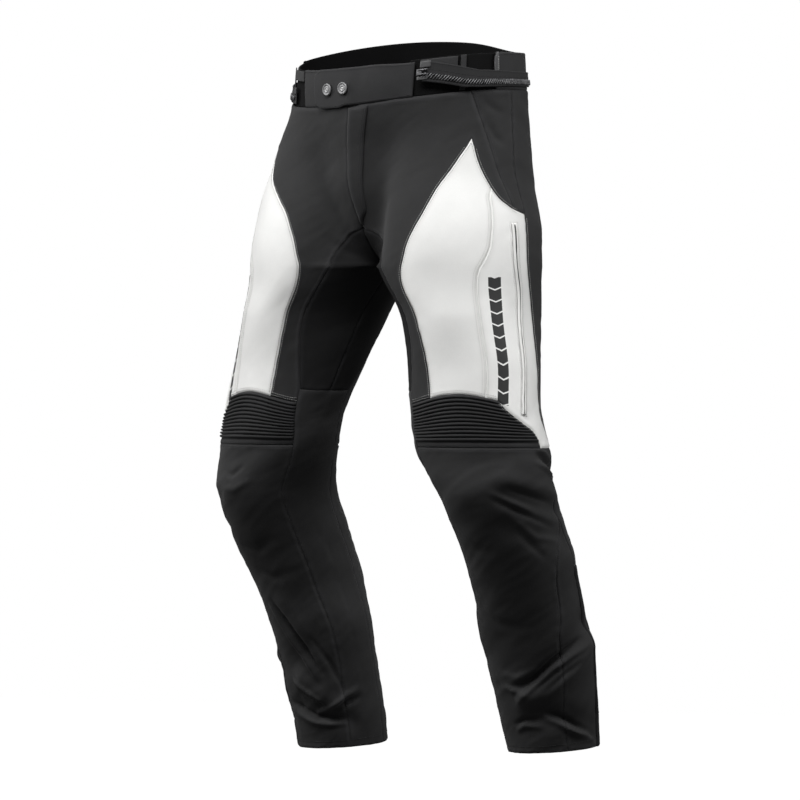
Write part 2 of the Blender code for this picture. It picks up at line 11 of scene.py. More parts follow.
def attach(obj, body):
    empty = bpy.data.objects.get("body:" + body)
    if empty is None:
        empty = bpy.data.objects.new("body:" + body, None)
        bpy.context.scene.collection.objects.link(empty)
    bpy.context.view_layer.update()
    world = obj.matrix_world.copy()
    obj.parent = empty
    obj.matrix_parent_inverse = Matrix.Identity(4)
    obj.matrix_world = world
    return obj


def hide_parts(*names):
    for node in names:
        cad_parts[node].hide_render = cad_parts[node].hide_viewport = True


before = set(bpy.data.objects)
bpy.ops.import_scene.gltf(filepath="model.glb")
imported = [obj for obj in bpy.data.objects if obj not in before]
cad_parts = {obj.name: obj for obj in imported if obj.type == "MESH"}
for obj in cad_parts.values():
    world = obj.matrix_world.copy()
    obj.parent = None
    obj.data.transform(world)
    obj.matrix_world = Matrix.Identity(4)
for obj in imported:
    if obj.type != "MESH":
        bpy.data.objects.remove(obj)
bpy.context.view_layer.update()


# Front panels
# The two black fronts of the shell, cut from woven polyester and shaped by the hips, the thighs and a
# centre seam. All cloth of these trousers follows the one worn shape that is worked out here: a trunk
# that forks into two legs with bent knees. "Around" is the share of the way round half the garment.

FORK = -0.262
FORK_TOP = -0.120
ARCH = 0.075
WAIST_TIP = 0.030
LEG_GIRTH = 0.50
TRUNK_COLUMNS = "height half_width front side_y back"
TRUNK = (
    (0.060, 0.187, -0.136, 0.000, 0.141),
    (0.000, 0.189, -0.139, 0.000, 0.142),
    (-0.035, 0.193, -0.139, 0.000, 0.146),
    (-0.080, 0.203, -0.135, 0.000, 0.142),
    (-0.140, 0.211, -0.133, -0.004, 0.144),
    (-0.200, 0.219, -0.128, -0.010, 0.146),
    (-0.262, 0.229, -0.124, -0.018, 0.142),
)
LEG_COLUMNS = "height outer inner y half_depth turn slope"
LEG = (
    (0.060, 0.195, 0.000, -0.004, 0.120, 0, 0.00),
    (-0.080, 0.212, 0.000, -0.014, 0.128, 0, 0.00),
    (-0.200, 0.233, 0.000, -0.027, 0.129, 0, 0.00),
    (-0.262, 0.241, 0.022, -0.032, 0.124, 0, 0.00),
    (-0.330, 0.246, 0.049, -0.036, 0.116, 6, 0.00),
    (-0.402, 0.265, 0.067, -0.051, 0.095, 12, 0.00),
    (-0.474, 0.281, 0.083, -0.066, 0.082, 15, 0.00),
    (-0.546, 0.300, 0.100, -0.063, 0.081, 15, 0.00),
    (-0.594, 0.296, 0.127, -0.052, 0.092, 15, 0.02),
    (-0.642, 0.292, 0.133, -0.027, 0.090, 15, 0.06),
    (-0.690, 0.290, 0.133, 0.001, 0.085, 15, 0.12),
    (-0.738, 0.283, 0.131, 0.022, 0.078, 15, 0.18),
    (-0.786, 0.284, 0.122, 0.038, 0.070, 15, 0.22),
    (-0.834, 0.285, 0.124, 0.055, 0.065, 15, 0.24),
    (-0.882, 0.279, 0.128, 0.068, 0.066, 15, 0.25),
    (-0.930, 0.273, 0.130, 0.080, 0.066, 15, 0.20),
    (-1.000, 0.267, 0.139, 0.094, 0.064, 15, 0.02),
)
# The worn rim isn't level: slow waves round it, each with a sine and a cosine part in metres.
# Columns: turns, sine, cosine.
RIM = ((1, 0.0000, 0.0015), (2, 0.0070, 0.0000), (3, -0.0020, 0.0000))
# And two local rises. Columns: turn, width, rise.
RIM_RISES = ((-1.87, 0.55, 0.0055), (2.97, 0.42, 0.0040))
HIP_SWAY = 0.0065
LEG_TWIST = 0.030
KNEE_ARCH = 0.018


def smooth(t):
    t = np.clip(t, 0, 1)
    return t * t * (3 - 2 * t)


def curve(x, y, slope, place):
    """A smooth curve through points, with a slope at each."""
    place = np.clip(place, x[0], x[-1])
    i = np.clip(np.searchsorted(x, place) - 1, 0, len(x) - 2)
    span = x[i + 1] - x[i]
    t = (place - x[i]) / span
    start = (1 + 2 * t) * (1 - t) ** 2 * y[i] + t * (1 - t) ** 2 * span * slope[i]
    return start + t * t * (3 - 2 * t) * y[i + 1] - t * t * (1 - t) * span * slope[i + 1]


def along(table, columns, column, height):
    rows = np.array(table, float)
    x = -rows[:, 0]
    y = rows[:, columns.split().index(column)]
    return curve(x, y, np.gradient(y, x), -np.asarray(height, float))


def trunk(column, height):
    return along(TRUNK, TRUNK_COLUMNS, column, height)


def leg(column, height):
    return along(LEG, LEG_COLUMNS, column, height)


def form(around, height):
    """A point of the left half of the worn shape."""
    around, height = np.broadcast_arrays(np.asarray(around, float), np.asarray(height, float))
    above = height > FORK
    wrapped = np.where(above, np.where(around > 1, 2 - around, np.abs(around)), around % 1.0)
    mirrored = above & ((around < 0) | (around > 1))
    angle = pi * (wrapped - 0.5)
    side_y = trunk("side_y", height)
    depth = np.where(angle < 0, side_y - trunk("front", height), trunk("back", height) - side_y)
    trunk_x = trunk("half_width", height) * np.cos(angle)
    trunk_y = side_y + depth * np.sin(angle)
    angle = 2 * pi * (wrapped - 0.5)
    drop = np.clip((FORK - height) / ARCH, 0, 1)
    outer = leg("outer", height)
    inner = leg("inner", height)
    # The gap between the legs opens fast at the fork, while the leg's middle moves out slowly.
    centre = (outer + inner * smooth(drop)) / 2
    reach = np.where(np.cos(angle) > 0, outer - centre, centre - inner * np.sqrt(1 - (1 - drop) ** 2))
    turn = np.radians(leg("turn", height))
    across = reach * np.cos(angle)
    deep = leg("half_depth", height) * np.sin(angle)
    leg_x = centre + across * np.cos(turn) - deep * np.sin(turn)
    leg_y = leg("y", height) + across * np.sin(turn) + deep * np.cos(turn)
    drop = np.clip((FORK_TOP - height) / (FORK_TOP - FORK), 0, 1)
    at_ends = 1 - np.sqrt(1 - drop ** 2)
    at_side = smooth((0.05 - height) / (0.05 - FORK))
    share = smooth(np.minimum(wrapped, 1 - wrapped) / 0.22)
    leg_share = np.where(above, at_ends + (at_side - at_ends) * share, 1.0)
    x = trunk_x + (leg_x - trunk_x) * leg_share
    y = trunk_y + (leg_y - trunk_y) * leg_share
    s = np.clip(y / 0.145, -1, 1)
    rise = (0.010 * s + 0.009 * s ** 3) * smooth((height + 0.200) / 0.200)
    z = height + rise + leg("slope", height) * (y - leg("y", height)) * ~above
    return np.stack([np.where(mirrored, -x, x), y, z], axis=-1)


def outward(around, height):
    across = form(around + 0.004, height) - form(around - 0.004, height)
    up = form(around, height + 0.003) - form(around, height - 0.003)
    n = np.cross(across, up)
    n = n / np.maximum(np.linalg.norm(n, axis=-1, keepdims=True), 1e-12)
    at_fork = np.linalg.norm(form(around, height) - np.array([0.0, -0.029, FORK]), axis=-1, keepdims=True)
    n = n + np.exp(-(at_fork / 0.012) ** 2) * 3 * np.array([0.0, 0.0, -1.0])
    return n / np.linalg.norm(n, axis=-1, keepdims=True)


def tipped(points, height):
    points = points.copy()
    turn = np.arctan2(points[..., 0], -points[..., 1])
    lift = WAIST_TIP * points[..., 0]
    for turns, sine, cosine in RIM:
        lift = lift + sine * np.sin(turns * turn) + cosine * np.cos(turns * turn)
    for at_turn, width, rise in RIM_RISES:
        off = (turn - at_turn + pi) % (2 * pi) - pi
        lift = lift + rise * np.exp(-(off / width) ** 2)
    points[..., 2] += lift * smooth((height + 0.200) / 0.200)
    points[..., 0] -= HIP_SWAY * smooth((-0.010 - height) / 0.070) * smooth((height + 0.210) / 0.090)
    return points


# Large folds of the worn cloth. Columns: half of the garment, start (around, height), end (around, height),
# half width and rise in metres.
LARGE_FOLDS = (
    (+1, 0.43, -0.540, 0.54, -0.562, 0.014, -0.004),
    (+1, 0.33, -0.572, 0.48, -0.592, 0.014, 0.004),
    (+1, 0.32, -0.596, 0.49, -0.616, 0.014, -0.005),
    (+1, 0.30, -0.642, 0.46, -0.655, 0.016, -0.003),
    (+1, 0.48, -0.790, 0.27, -0.850, 0.016, -0.006),
    (+1, 0.47, -0.822, 0.22, -0.884, 0.015, 0.006),
    (+1, 0.45, -0.935, 0.27, -0.902, 0.016, -0.005),
    (+1, 0.13, -0.850, 0.24, -0.876, 0.014, 0.003),
    (-1, 0.21, -0.747, 0.13, -0.862, 0.015, 0.004),
    (-1, 0.23, -0.856, 0.12, -0.894, 0.014, 0.005),
    (-1, 0.26, -0.895, 0.06, -0.930, 0.015, -0.005),
    (-1, 0.32, -0.600, 0.47, -0.620, 0.015, -0.004),
    (+1, 0.60, -0.560, 0.84, -0.548, 0.016, -0.005),
    (-1, 0.60, -0.552, 0.84, -0.562, 0.016, -0.005),
    (+1, 0.62, -0.600, 0.80, -0.592, 0.016, 0.004),
    (-1, 0.62, -0.596, 0.80, -0.604, 0.016, 0.004),
    (+1, 0.56, -0.905, 0.84, -0.880, 0.016, -0.004),
    (-1, 0.56, -0.890, 0.84, -0.912, 0.016, -0.004),
)
# Creases on top of them, which fade out towards both ends. Columns: half of the garment, half width and rise
# in metres, then the (around, height) places they pass on the twisted leg.
CREASES = (
    (+1, 0.0036, -0.0052, (0.458, -0.536), (0.505, -0.546), (0.566, -0.562)),
    (+1, 0.0036, 0.0040, (0.440, -0.546), (0.500, -0.557), (0.548, -0.571)),
    (+1, 0.0034, 0.0030, (0.452, -0.527), (0.490, -0.533), (0.530, -0.545)),
    (+1, 0.0040, -0.0042, (0.349, -0.582), (0.413, -0.593), (0.502, -0.607)),
    (+1, 0.0045, 0.0034, (0.300, -0.588), (0.360, -0.604), (0.420, -0.618)),
    (+1, 0.0045, -0.0038, (0.309, -0.600), (0.375, -0.618), (0.472, -0.642)),
    (+1, 0.0050, 0.0026, (0.340, -0.622), (0.400, -0.655), (0.478, -0.662)),
    (+1, 0.0050, -0.0028, (0.352, -0.647), (0.404, -0.684)),
    (+1, 0.0034, 0.0066, (0.490, -0.817), (0.405, -0.828), (0.343, -0.841), (0.285, -0.860), (0.223, -0.883)),
    (+1, 0.0040, -0.0084, (0.476, -0.808), (0.396, -0.819), (0.334, -0.833), (0.275, -0.851), (0.212, -0.872)),
    (+1, 0.0040, -0.0040, (0.440, -0.838), (0.380, -0.850), (0.310, -0.872)),
    (+1, 0.0045, 0.0030, (0.300, -0.838), (0.230, -0.848), (0.170, -0.842)),
    (+1, 0.0040, -0.0030, (0.290, -0.850), (0.220, -0.860), (0.150, -0.856)),
    (+1, 0.0042, -0.0060, (0.499, -0.952), (0.403, -0.930), (0.352, -0.913), (0.305, -0.903)),
    (+1, 0.0042, 0.0050, (0.499, -0.962), (0.405, -0.941), (0.352, -0.924), (0.300, -0.912)),
    (+1, 0.0036, 0.0036, (0.162, -0.855), (0.210, -0.866), (0.263, -0.875)),
    (+1, 0.0034, 0.0040, (0.191, -0.930), (0.230, -0.921), (0.289, -0.925)),
    (+1, 0.0036, -0.0038, (0.185, -0.920), (0.232, -0.911), (0.296, -0.914)),
    (+1, 0.0036, 0.0030, (0.350, -0.928), (0.420, -0.944), (0.480, -0.948)),
    (+1, 0.0070, -0.0022, (0.110, -0.640), (0.180, -0.665), (0.260, -0.672)),
    (+1, 0.0070, -0.0022, (0.130, -0.742), (0.210, -0.770), (0.300, -0.776)),
    (-1, 0.0040, 0.0064, (0.258, -0.751), (0.207, -0.806), (0.151, -0.858)),
    (-1, 0.0042, -0.0056, (0.237, -0.745), (0.187, -0.800), (0.132, -0.852)),
    (-1, 0.0036, 0.0060, (0.247, -0.858), (0.187, -0.877), (0.145, -0.893)),
    (-1, 0.0040, -0.0056, (0.240, -0.870), (0.180, -0.888), (0.135, -0.904)),
    (-1, 0.0038, 0.0056, (0.299, -0.902), (0.177, -0.925), (0.073, -0.931)),
    (-1, 0.0040, -0.0060, (0.290, -0.892), (0.180, -0.914), (0.080, -0.921)),
    (-1, 0.0036, 0.0060, (0.188, -0.913), (0.124, -0.901), (0.064, -0.886), (0.020, -0.880)),
    (-1, 0.0040, -0.0060, (0.120, -0.909), (0.066, -0.896), (0.010, -0.892)),
    (-1, 0.0036, -0.0036, (0.150, -0.795), (0.105, -0.835), (0.070, -0.880)),
    (-1, 0.0050, -0.0030, (0.330, -0.592), (0.400, -0.604), (0.480, -0.600)),
    (-1, 0.0055, -0.0030, (0.300, -0.640), (0.380, -0.660), (0.470, -0.652)),
    (-1, 0.0050, 0.0034, (0.330, -0.820), (0.410, -0.846), (0.500, -0.840)),
    (-1, 0.0050, -0.0034, (0.300, -0.930), (0.380, -0.914), (0.470, -0.940)),
    (-1, 0.0040, -0.0034, (0.205, -0.556), (0.235, -0.570), (0.262, -0.566)),
    (-1, 0.0050, 0.0026, (0.165, -0.575), (0.215, -0.590), (0.265, -0.588)),
    (-1, 0.0060, -0.0026, (0.130, -0.655), (0.200, -0.672), (0.270, -0.668)),
    (-1, 0.0060, -0.0024, (0.110, -0.700), (0.180, -0.712), (0.250, -0.700)),
    (+1, 0.0070, -0.0030, (0.620, -0.575), (0.720, -0.566), (0.830, -0.572)),
    (-1, 0.0070, -0.0030, (0.620, -0.570), (0.720, -0.580), (0.830, -0.574)),
    (+1, 0.0070, 0.0030, (0.600, -0.840), (0.700, -0.862), (0.820, -0.850)),
    (-1, 0.0070, 0.0030, (0.600, -0.850), (0.700, -0.840), (0.820, -0.862)),
    (+1, 0.0060, -0.0034, (0.580, -0.915), (0.680, -0.900), (0.800, -0.922)),
    (-1, 0.0060, -0.0034, (0.580, -0.905), (0.680, -0.920), (0.800, -0.908)),
    (+1, 0.0090, -0.0024, (0.640, -0.240), (0.740, -0.262), (0.850, -0.275)),
    (-1, 0.0090, -0.0024, (0.640, -0.250), (0.740, -0.262), (0.850, -0.270)),
    (+1, 0.0050, -0.0022, (0.050, -0.245), (0.090, -0.238), (0.140, -0.214)),
    (-1, 0.0050, -0.0022, (0.050, -0.248), (0.090, -0.240), (0.140, -0.222)),
    (+1, 0.0042, -0.0022, (0.400, -0.024), (0.440, -0.038), (0.470, -0.044)),
    (+1, 0.0042, -0.0030, (0.425, -0.058), (0.445, -0.078), (0.470, -0.086)),
    (-1, 0.0042, -0.0026, (0.420, -0.050), (0.445, -0.070), (0.470, -0.082)),
)


def twisted(side, around, height):
    """How far the worn legs are turned: both lean to the wearer's left."""
    return LEG_TWIST * side * np.sin(pi * (around % 1.0)) * smooth((-0.100 - height) / 0.090)


def from_line(u, height, start, end):
    """How far places lie from a straight line on the flat cloth, and how far along it."""
    dx, dy = (end[0] - start[0]) * LEG_GIRTH, end[1] - start[1]
    px, py = u - start[0] * LEG_GIRTH, height - start[1]
    t = np.clip((px * dx + py * dy) / (dx * dx + dy * dy), 0, 1)
    return np.hypot(px - t * dx, py - t * dy), t


def folds(side, around, height):
    """How far large folds and creases lift the cloth."""
    lift = np.zeros(np.shape(around))
    u = (around % 1.0) * LEG_GIRTH
    for fold_side, *start_end, half_width, rise in LARGE_FOLDS:
        if fold_side == side:
            off, t = from_line(u, height, start_end[:2], start_end[2:])
            lift += rise * np.exp(-(off / half_width) ** 2)
    u = ((around + twisted(side, around, height)) % 1.0) * LEG_GIRTH
    for crease_side, half_width, rise, *places in CREASES:
        if crease_side == side:
            off, share = np.full(np.shape(around), 1.0), np.zeros(np.shape(around))
            for k, (start, end) in enumerate(zip(places, places[1:])):
                here, t = from_line(u, height, start, end)
                share = np.where(here < off, (k + t) / (len(places) - 1), share)
                off = np.minimum(off, here)
            lift += rise * np.exp(-(off / half_width) ** 2) * (0.15 + 0.85 * np.sin(pi * share) ** 0.7)
    return lift


def cloth(side, around, height, out=0.0):
    """Points and outward directions of the worn cloth on the left (+1) or right (-1) half."""
    around, height = np.broadcast_arrays(np.asarray(around, float), np.asarray(height, float))
    arch = KNEE_ARCH * (1 - np.exp(-(((around % 1.0) - 0.25) / 0.11) ** 2))
    arch = arch * smooth((height + 0.526) / 0.079) * smooth((-0.370 - height) / 0.077)
    lift = folds(side, around, height)
    twist = twisted(side, around, height)
    n = outward(around + twist, height - arch)
    p = form(around + twist, height - arch) + n * (lift + out)[..., None]
    flip = np.array([side, 1.0, 1.0])
    return tipped(p * flip, height), n * flip


def seam_line(*points):
    """A seam as a smooth function of height through its (height, around) points."""
    x = -np.array([height for height, around in points])
    y = np.array([around for height, around in points])
    step = np.diff(y) / np.diff(x)
    slope = np.concatenate([[step[0]], np.zeros(len(x) - 2), [step[-1]]])
    same = step[:-1] * step[1:] > 0
    mean = 2 * step[:-1] * step[1:] / np.where(same, step[:-1] + step[1:], 1)
    slope[1:-1] = np.where(same, mean, 0)

    return lambda height: float(curve(x, y, slope, -height))


APEX, YOKE_END, POCKET_END, WHITE_TOP = -0.078, -0.147, -0.178, -0.185
BAND_SEAM, CROTCH_SEAM, GUSSET_END = -0.010, -0.207, -0.430
RIBS_TOP, RIBS_FOOT, KNEE_SEAM, CALF_TOP, HEM = -0.447, -0.516, -0.526, -0.600, -0.969

white_front = seam_line(
    (-0.078, 0.375), (-0.100, 0.352), (-0.120, 0.330), (-0.150, 0.292), (-0.190, 0.257), (-0.225, 0.237),
    (-0.250, 0.228), (-0.275, 0.215), (-0.310, 0.200), (-0.350, 0.191), (-0.390, 0.186), (-0.447, 0.178))
white_top = seam_line(
    (-0.078, 0.375), (-0.102, 0.392), (-0.129, 0.409), (-0.147, 0.419), (-0.160, 0.428), (-0.178, 0.460),
    (-0.185, 0.491))
pocket_line = seam_line(
    (-0.010, 0.359), (-0.035, 0.382), (-0.072, 0.414), (-0.111, 0.441), (-0.142, 0.4525), (-0.178, 0.460))
gusset_front = seam_line(
    (-0.207, 0.000), (-0.214, 0.048), (-0.226, 0.090), (-0.243, 0.132), (-0.262, 0.152), (-0.290, 0.152),
    (-0.350, 0.145), (-0.390, 0.128), (-0.430, 0.097))
knee_inner = seam_line((-0.430, 0.097), (-0.447, 0.096), (-0.516, 0.087), (-0.600, 0.084), (-0.963, 0.080))


def towards_apex(height):
    return 0.375 - 0.035 * (height - APEX) / (BAND_SEAM - APEX)


def inner_front(height):
    if height >= CROTCH_SEAM:
        return 0.0
    return gusset_front(height) if height > GUSSET_END else knee_inner(height)


EDGE_ROWS = (0.0, 0.0011, 0.0026, 0.0048)
CLOTH_STEP, FINE_STEP, COARSE_STEP = 0.0042, 0.0031, 0.0055


def rows_down(top, bottom, step=CLOTH_STEP):
    """Row heights, with close rows at either end where the cloth turns under at a seam."""
    count = max(2, int(round((top - bottom) / step)))
    inside = [top - (top - bottom) * i / count for i in range(1, count)]
    inside = [h for h in inside if bottom + 0.006 < h < top - 0.006]
    return [top - d for d in EDGE_ROWS] + inside + [bottom + d for d in reversed(EDGE_ROWS)]


def shares(width, step=CLOTH_STEP):
    """Column places from 0 to 1 for a cut that is so wide, with close columns near both edges."""
    columns = max(3, int(round(width / step)))
    inside = [i / columns for i in range(1, columns)]
    inside = [s for s in inside if 0.006 / width < s < 1 - 0.006 / width]
    return [d / width for d in EDGE_ROWS] + inside + [1 - d / width for d in reversed(EDGE_ROWS)]


def block(heights, left, right, places):
    grid = []
    for height in heights:
        a = left(height) if callable(left) else left
        b = right(height) if callable(right) else right
        grid.append([(a + (b - a) * place, height) for place in places])
    return grid


def tone(value):
    """An sRGB hex colour as linear light."""
    parts = [int(value[i:i + 2], 16) / 255 for i in (1, 3, 5)]
    return tuple(p / 12.92 if p <= 0.04045 else ((p + 0.055) / 1.055) ** 2.4 for p in parts) + (1.0,)


def put(tree, kind, values=None, links=None, **settings):
    """Adds one node with its settings, its socket values and its links."""
    node = tree.nodes.new(kind)
    for key, value in settings.items():
        setattr(node, key, value)
    for key, value in (values or {}).items():
        node.inputs[key].default_value = value
    for key, source in (links or {}).items():
        tree.links.new(source, node.inputs[key])
    return node


def reckon(tree, operation, *terms):
    """One Math node: each term is a number or another node's output."""
    node = put(tree, "ShaderNodeMath", operation=operation)
    for socket, term in zip(node.inputs, terms):
        if isinstance(term, (int, float)):
            socket.default_value = term
        else:
            tree.links.new(term, socket)
    return node.outputs[0]


def new_finish(name, **shader_values):
    finish = bpy.data.materials.new(name)
    finish.use_nodes = True
    shader = finish.node_tree.nodes["Principled BSDF"]
    for key, value in shader_values.items():
        shader.inputs[key.replace("_", " ")].default_value = value
    return finish, finish.node_tree, shader


# Woven polyester, matt and slightly napped: light catches it softly at grazing angles. Along its seams the
# black cloth is rubbed a little paler, while the white cloth turns darker there, partly as dirt and partly as
# painted shade in the seams. The real threads are about 0.5 mm apart, drawn here at 1.5 mm so that the weave
# still shows.
def woven_finish(name, dark, light, seam_wear_and_shade, roughness=0.8, thread=0.0015, depth=0.00012, sheen=0.06,
                 crumple=0.0004, print_over=None, gloss=0.5):
    finish, tree, shader = new_finish(name, Roughness=roughness, Sheen_Weight=sheen, Sheen_Roughness=0.5,
                                      Specular_IOR_Level=gloss)
    place = put(tree, "ShaderNodeUVMap", uv_map="cloth")
    bands = [put(tree, "ShaderNodeTexWave", {"Scale": 0.314 / thread, "Distortion": 0.4, "Detail": 1.0},
                 {"Vector": place.outputs["UV"]}, wave_type="BANDS", bands_direction=way).outputs["Fac"]
             for way in ("X", "Y")]
    weave = reckon(tree, "MULTIPLY", *bands)
    space = put(tree, "ShaderNodeTexCoord")
    patches = put(tree, "ShaderNodeTexNoise", {"Scale": 22.0, "Detail": 5.0, "Roughness": 0.6},
                  {"Vector": space.outputs["Object"]})
    fuzz = put(tree, "ShaderNodeTexNoise", {"Scale": 900.0, "Detail": 2.0},
               {"Vector": space.outputs["Object"]})
    ramp = put(tree, "ShaderNodeValToRGB",
               links={"Fac": reckon(tree, "MULTIPLY", patches.outputs["Fac"], fuzz.outputs["Fac"])})
    ramp.color_ramp.elements[0].position, ramp.color_ramp.elements[0].color = 0.12, tone(dark)
    ramp.color_ramp.elements[1].position, ramp.color_ramp.elements[1].color = 0.42, tone(light)
    edge = put(tree, "ShaderNodeAttribute", attribute_name="seam_edge")
    # Seam colour along the seams: wear on the black cloth, dirt and painted shade on the white cloth.
    seam_wear_and_shade_mask = reckon(tree, "MULTIPLY", edge.outputs["Fac"], patches.outputs["Fac"])
    colour = put(tree, "ShaderNodeMix", data_type="RGBA")
    tree.links.new(seam_wear_and_shade_mask, colour.inputs[0])
    tree.links.new(ramp.outputs["Color"], colour.inputs[6])
    colour.inputs[7].default_value = tone(seam_wear_and_shade)
    out = colour.outputs[2]
    if print_over is not None:
        out = print_over(tree, place.outputs["UV"], out)
    tree.links.new(out, shader.inputs["Base Color"])
    wrinkles = put(tree, "ShaderNodeTexNoise",
                   {"Scale": 55.0, "Detail": 4.0, "Roughness": 0.55, "Distortion": 0.6},
                   {"Vector": space.outputs["Object"]})
    soft = put(tree, "ShaderNodeBump", {"Strength": 0.6, "Distance": crumple},
               {"Height": wrinkles.outputs["Fac"]})
    bump = put(tree, "ShaderNodeBump", {"Strength": 0.5, "Distance": depth},
               {"Height": weave, "Normal": soft.outputs["Normal"]})
    tree.links.new(bump.outputs["Normal"], shader.inputs["Normal"])
    return finish


black_shell = woven_finish("black_woven_polyester", "#151516", "#1e1e1f", "#29292b")

# The knitted mesh lining that shows inside the waist and the hems: dull and almost without light.
lining = woven_finish("black_mesh_lining", "#070707", "#0d0d0e", "#0f0f10", 0.95, thread=0.0030, sheen=0.0,
                       gloss=0.15)

sewn_faces = {+1: ([], []), -1: ([], [])}


def place_piece(piece, node=None):
    """Fixes a piece to the one body and hides the CAD solid it stands for."""
    if node:
        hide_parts(node)
    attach(piece, "root")


def make_piece(name, points, quads, finishes, node=None, face_finish=None, uv=None):
    """A mesh piece from points and faces, with the flat places of its cloth as its UV map."""
    mesh = bpy.data.meshes.new(name)
    mesh.from_pydata(np.asarray(points, float).tolist(), [], quads)
    for finish in finishes:
        mesh.materials.append(finish)
    if face_finish is not None:
        mesh.polygons.foreach_set("material_index", face_finish)
    if uv is not None:
        layer = mesh.uv_layers.new(name="cloth")
        corner = np.zeros(len(mesh.loops), dtype=np.int32)
        mesh.loops.foreach_get("vertex_index", corner)
        layer.data.foreach_set("uv", np.asarray(uv, float)[corner].ravel())
    mesh.shade_smooth()
    piece = bpy.data.objects.new(name, mesh)
    bpy.context.scene.collection.objects.link(piece)
    place_piece(piece, node)
    return piece


def add_wall(piece, thickness, offset):
    wall = piece.modifiers.new("wall", "SOLIDIFY")
    wall.thickness, wall.offset = thickness, offset
    return wall


def sew(name, side, blocks, finish, out=0.0, relief=None, pucker=0.0009, turn_under=0.0010,
        thickness=0.0015, drape=(20, 0.0010)):
    """One cut of cloth over its CAD solid: a thin wall that turns under at its seams and puckers there.
    Drape is the lean of its slack wrinkles in degrees, and their rise in metres."""
    places, quads = {}, []
    for grid in blocks:
        for upper, lower in zip(grid, grid[1:]):
            for i in range(len(upper) - 1):
                face = []
                for around, height in (lower[i], lower[i + 1], upper[i + 1], upper[i]):
                    number = places.setdefault((round(around, 6), round(height, 6)), len(places))
                    if number not in face:
                        face.append(number)
                if len(face) >= 3:
                    quads.append(face if side > 0 else face[::-1])
    keys = np.array(list(places))
    points, normal = cloth(side, keys[:, 0], keys[:, 1], out)
    used = {pair for face in quads for pair in zip(face, face[1:] + face[:1])}
    border = [(a, b) for a, b in used if (b, a) not in used]
    border.sort()
    tree = kdtree.KDTree(len(border) * 4)
    inward = {}
    for number, (a, b) in enumerate(border):
        for k in range(4):
            tree.insert(Vector(points[a] + (points[b] - points[a]) * k / 4), number * 4 + k)
        m = np.cross(normal[a] + normal[b], points[b] - points[a])
        m = m / max(np.linalg.norm(m), 1e-12)
        inward.setdefault(a, []).append(m)
        inward.setdefault(b, []).append(m)
    tree.balance()
    from_seam = np.array([tree.find(Vector(p))[2] for p in points])
    ripple = np.array([noise.noise(Vector(p) * 85) + 0.5 * noise.noise(Vector(p) * 190) for p in points])
    swell = np.array([noise.noise(Vector(p) * 16) for p in points])
    lean = radians(drape[0]) * side
    run = (keys[:, 0] % 1.0) * LEG_GIRTH * np.cos(lean) + keys[:, 1] * np.sin(lean)
    rise = keys[:, 1] * np.cos(lean) - (keys[:, 0] % 1.0) * LEG_GIRTH * np.sin(lean)
    slack = np.array([noise.noise(Vector((u * 9, v * 34, side * 3.7))) - 0.6 * abs(
        noise.noise(Vector((u * 16, v * 70, 5 + side)))) for u, v in zip(run, rise)])
    lift = -turn_under * np.exp(-(from_seam / 0.0014) ** 2)
    lift += 0.0004 * np.exp(-((from_seam - 0.0045) / 0.0018) ** 2)
    lift += pucker * ripple * np.exp(-from_seam / 0.010) + 0.0010 * swell
    lift += drape[1] * slack * (1 - 0.7 * np.exp(-from_seam / 0.006))
    if relief is not None:
        lift += np.array([relief(a, h) for a, h in keys])
    back = np.zeros(points.shape)
    for end, sides in inward.items():
        both = sides[0] + sides[-1]
        back[end] = both / max(1 + float(np.dot(sides[0], sides[-1])), 0.5) * -0.0002
    outer = points + back + normal * lift[:, None]
    flat_places = np.stack([keys[:, 0] * LEG_GIRTH, keys[:, 1]], axis=-1)
    piece = make_piece("cloth_" + name, outer, quads, [finish, lining], name, uv=flat_places)
    mesh = piece.data
    edge = mesh.attributes.new("seam_edge", "FLOAT", "POINT")
    edge.data.foreach_set("value", np.exp(-((from_seam - 0.003) / 0.003) ** 2))
    known, known_quads = sewn_faces[side]
    known_quads.extend([tuple(v + len(known) for v in face) for face in quads])
    known.extend([tuple(p) for p in outer])
    add_wall(piece, thickness, -1).material_offset = 1
    area = sum(polygon.area for polygon in mesh.polygons)
    wide, tall = np.ptp(flat_places[:, 0]) * 1.3, np.ptp(flat_places[:, 1]) * 1.05
    wide = max(wide, area / 0.98 / tall)
    return piece


SIDES = ((+1, "_left"), (-1, "_right"))
for side, tail in SIDES:
    upper_rows, wide, narrow = rows_down(BAND_SEAM, APEX), shares(0.185), shares(0.020)
    sew("front_panel" + tail, side, [
        block(upper_rows, 0.0, towards_apex, wide),
        block(upper_rows, towards_apex, pocket_line, narrow),
        block(rows_down(APEX, RIBS_TOP), inner_front, white_front, wide),
        block(rows_down(APEX, POCKET_END), white_top, pocket_line, narrow),
    ], black_shell, drape=(35, 0.0012))


# Hip panels
# The black pieces behind the slanted hand pockets, from the waistband down to the white cloth. Each is
# caught in the pocket line in front and in the side seam behind, and its pocket mouth is slightly gathered.

side_seam = seam_line(
    (-0.010, 0.510), (-0.100, 0.505), (-0.150, 0.496), (-0.185, 0.491), (-0.447, 0.490), (-0.470, 0.492),
    (-0.493, 0.510), (-0.526, 0.520))


def hip_left(height):
    return pocket_line(height) if height > POCKET_END else white_top(height)


def pocket_mouth(around, height):
    near = np.exp(-(around - pocket_line(height)) * LEG_GIRTH / 0.012) * smooth((-0.012 - height) / 0.02)
    gathers = noise.noise(Vector((around * 40, height * 75, 2.0)))
    return 0.0016 * gathers * near - 0.0012 * near * smooth((-0.160 - height) / -0.03)


for side, tail in SIDES:
    sew("hip_panel" + tail, side, [
        block(rows_down(BAND_SEAM, WHITE_TOP), hip_left, side_seam, shares(0.065)),
    ], black_shell, relief=pocket_mouth)
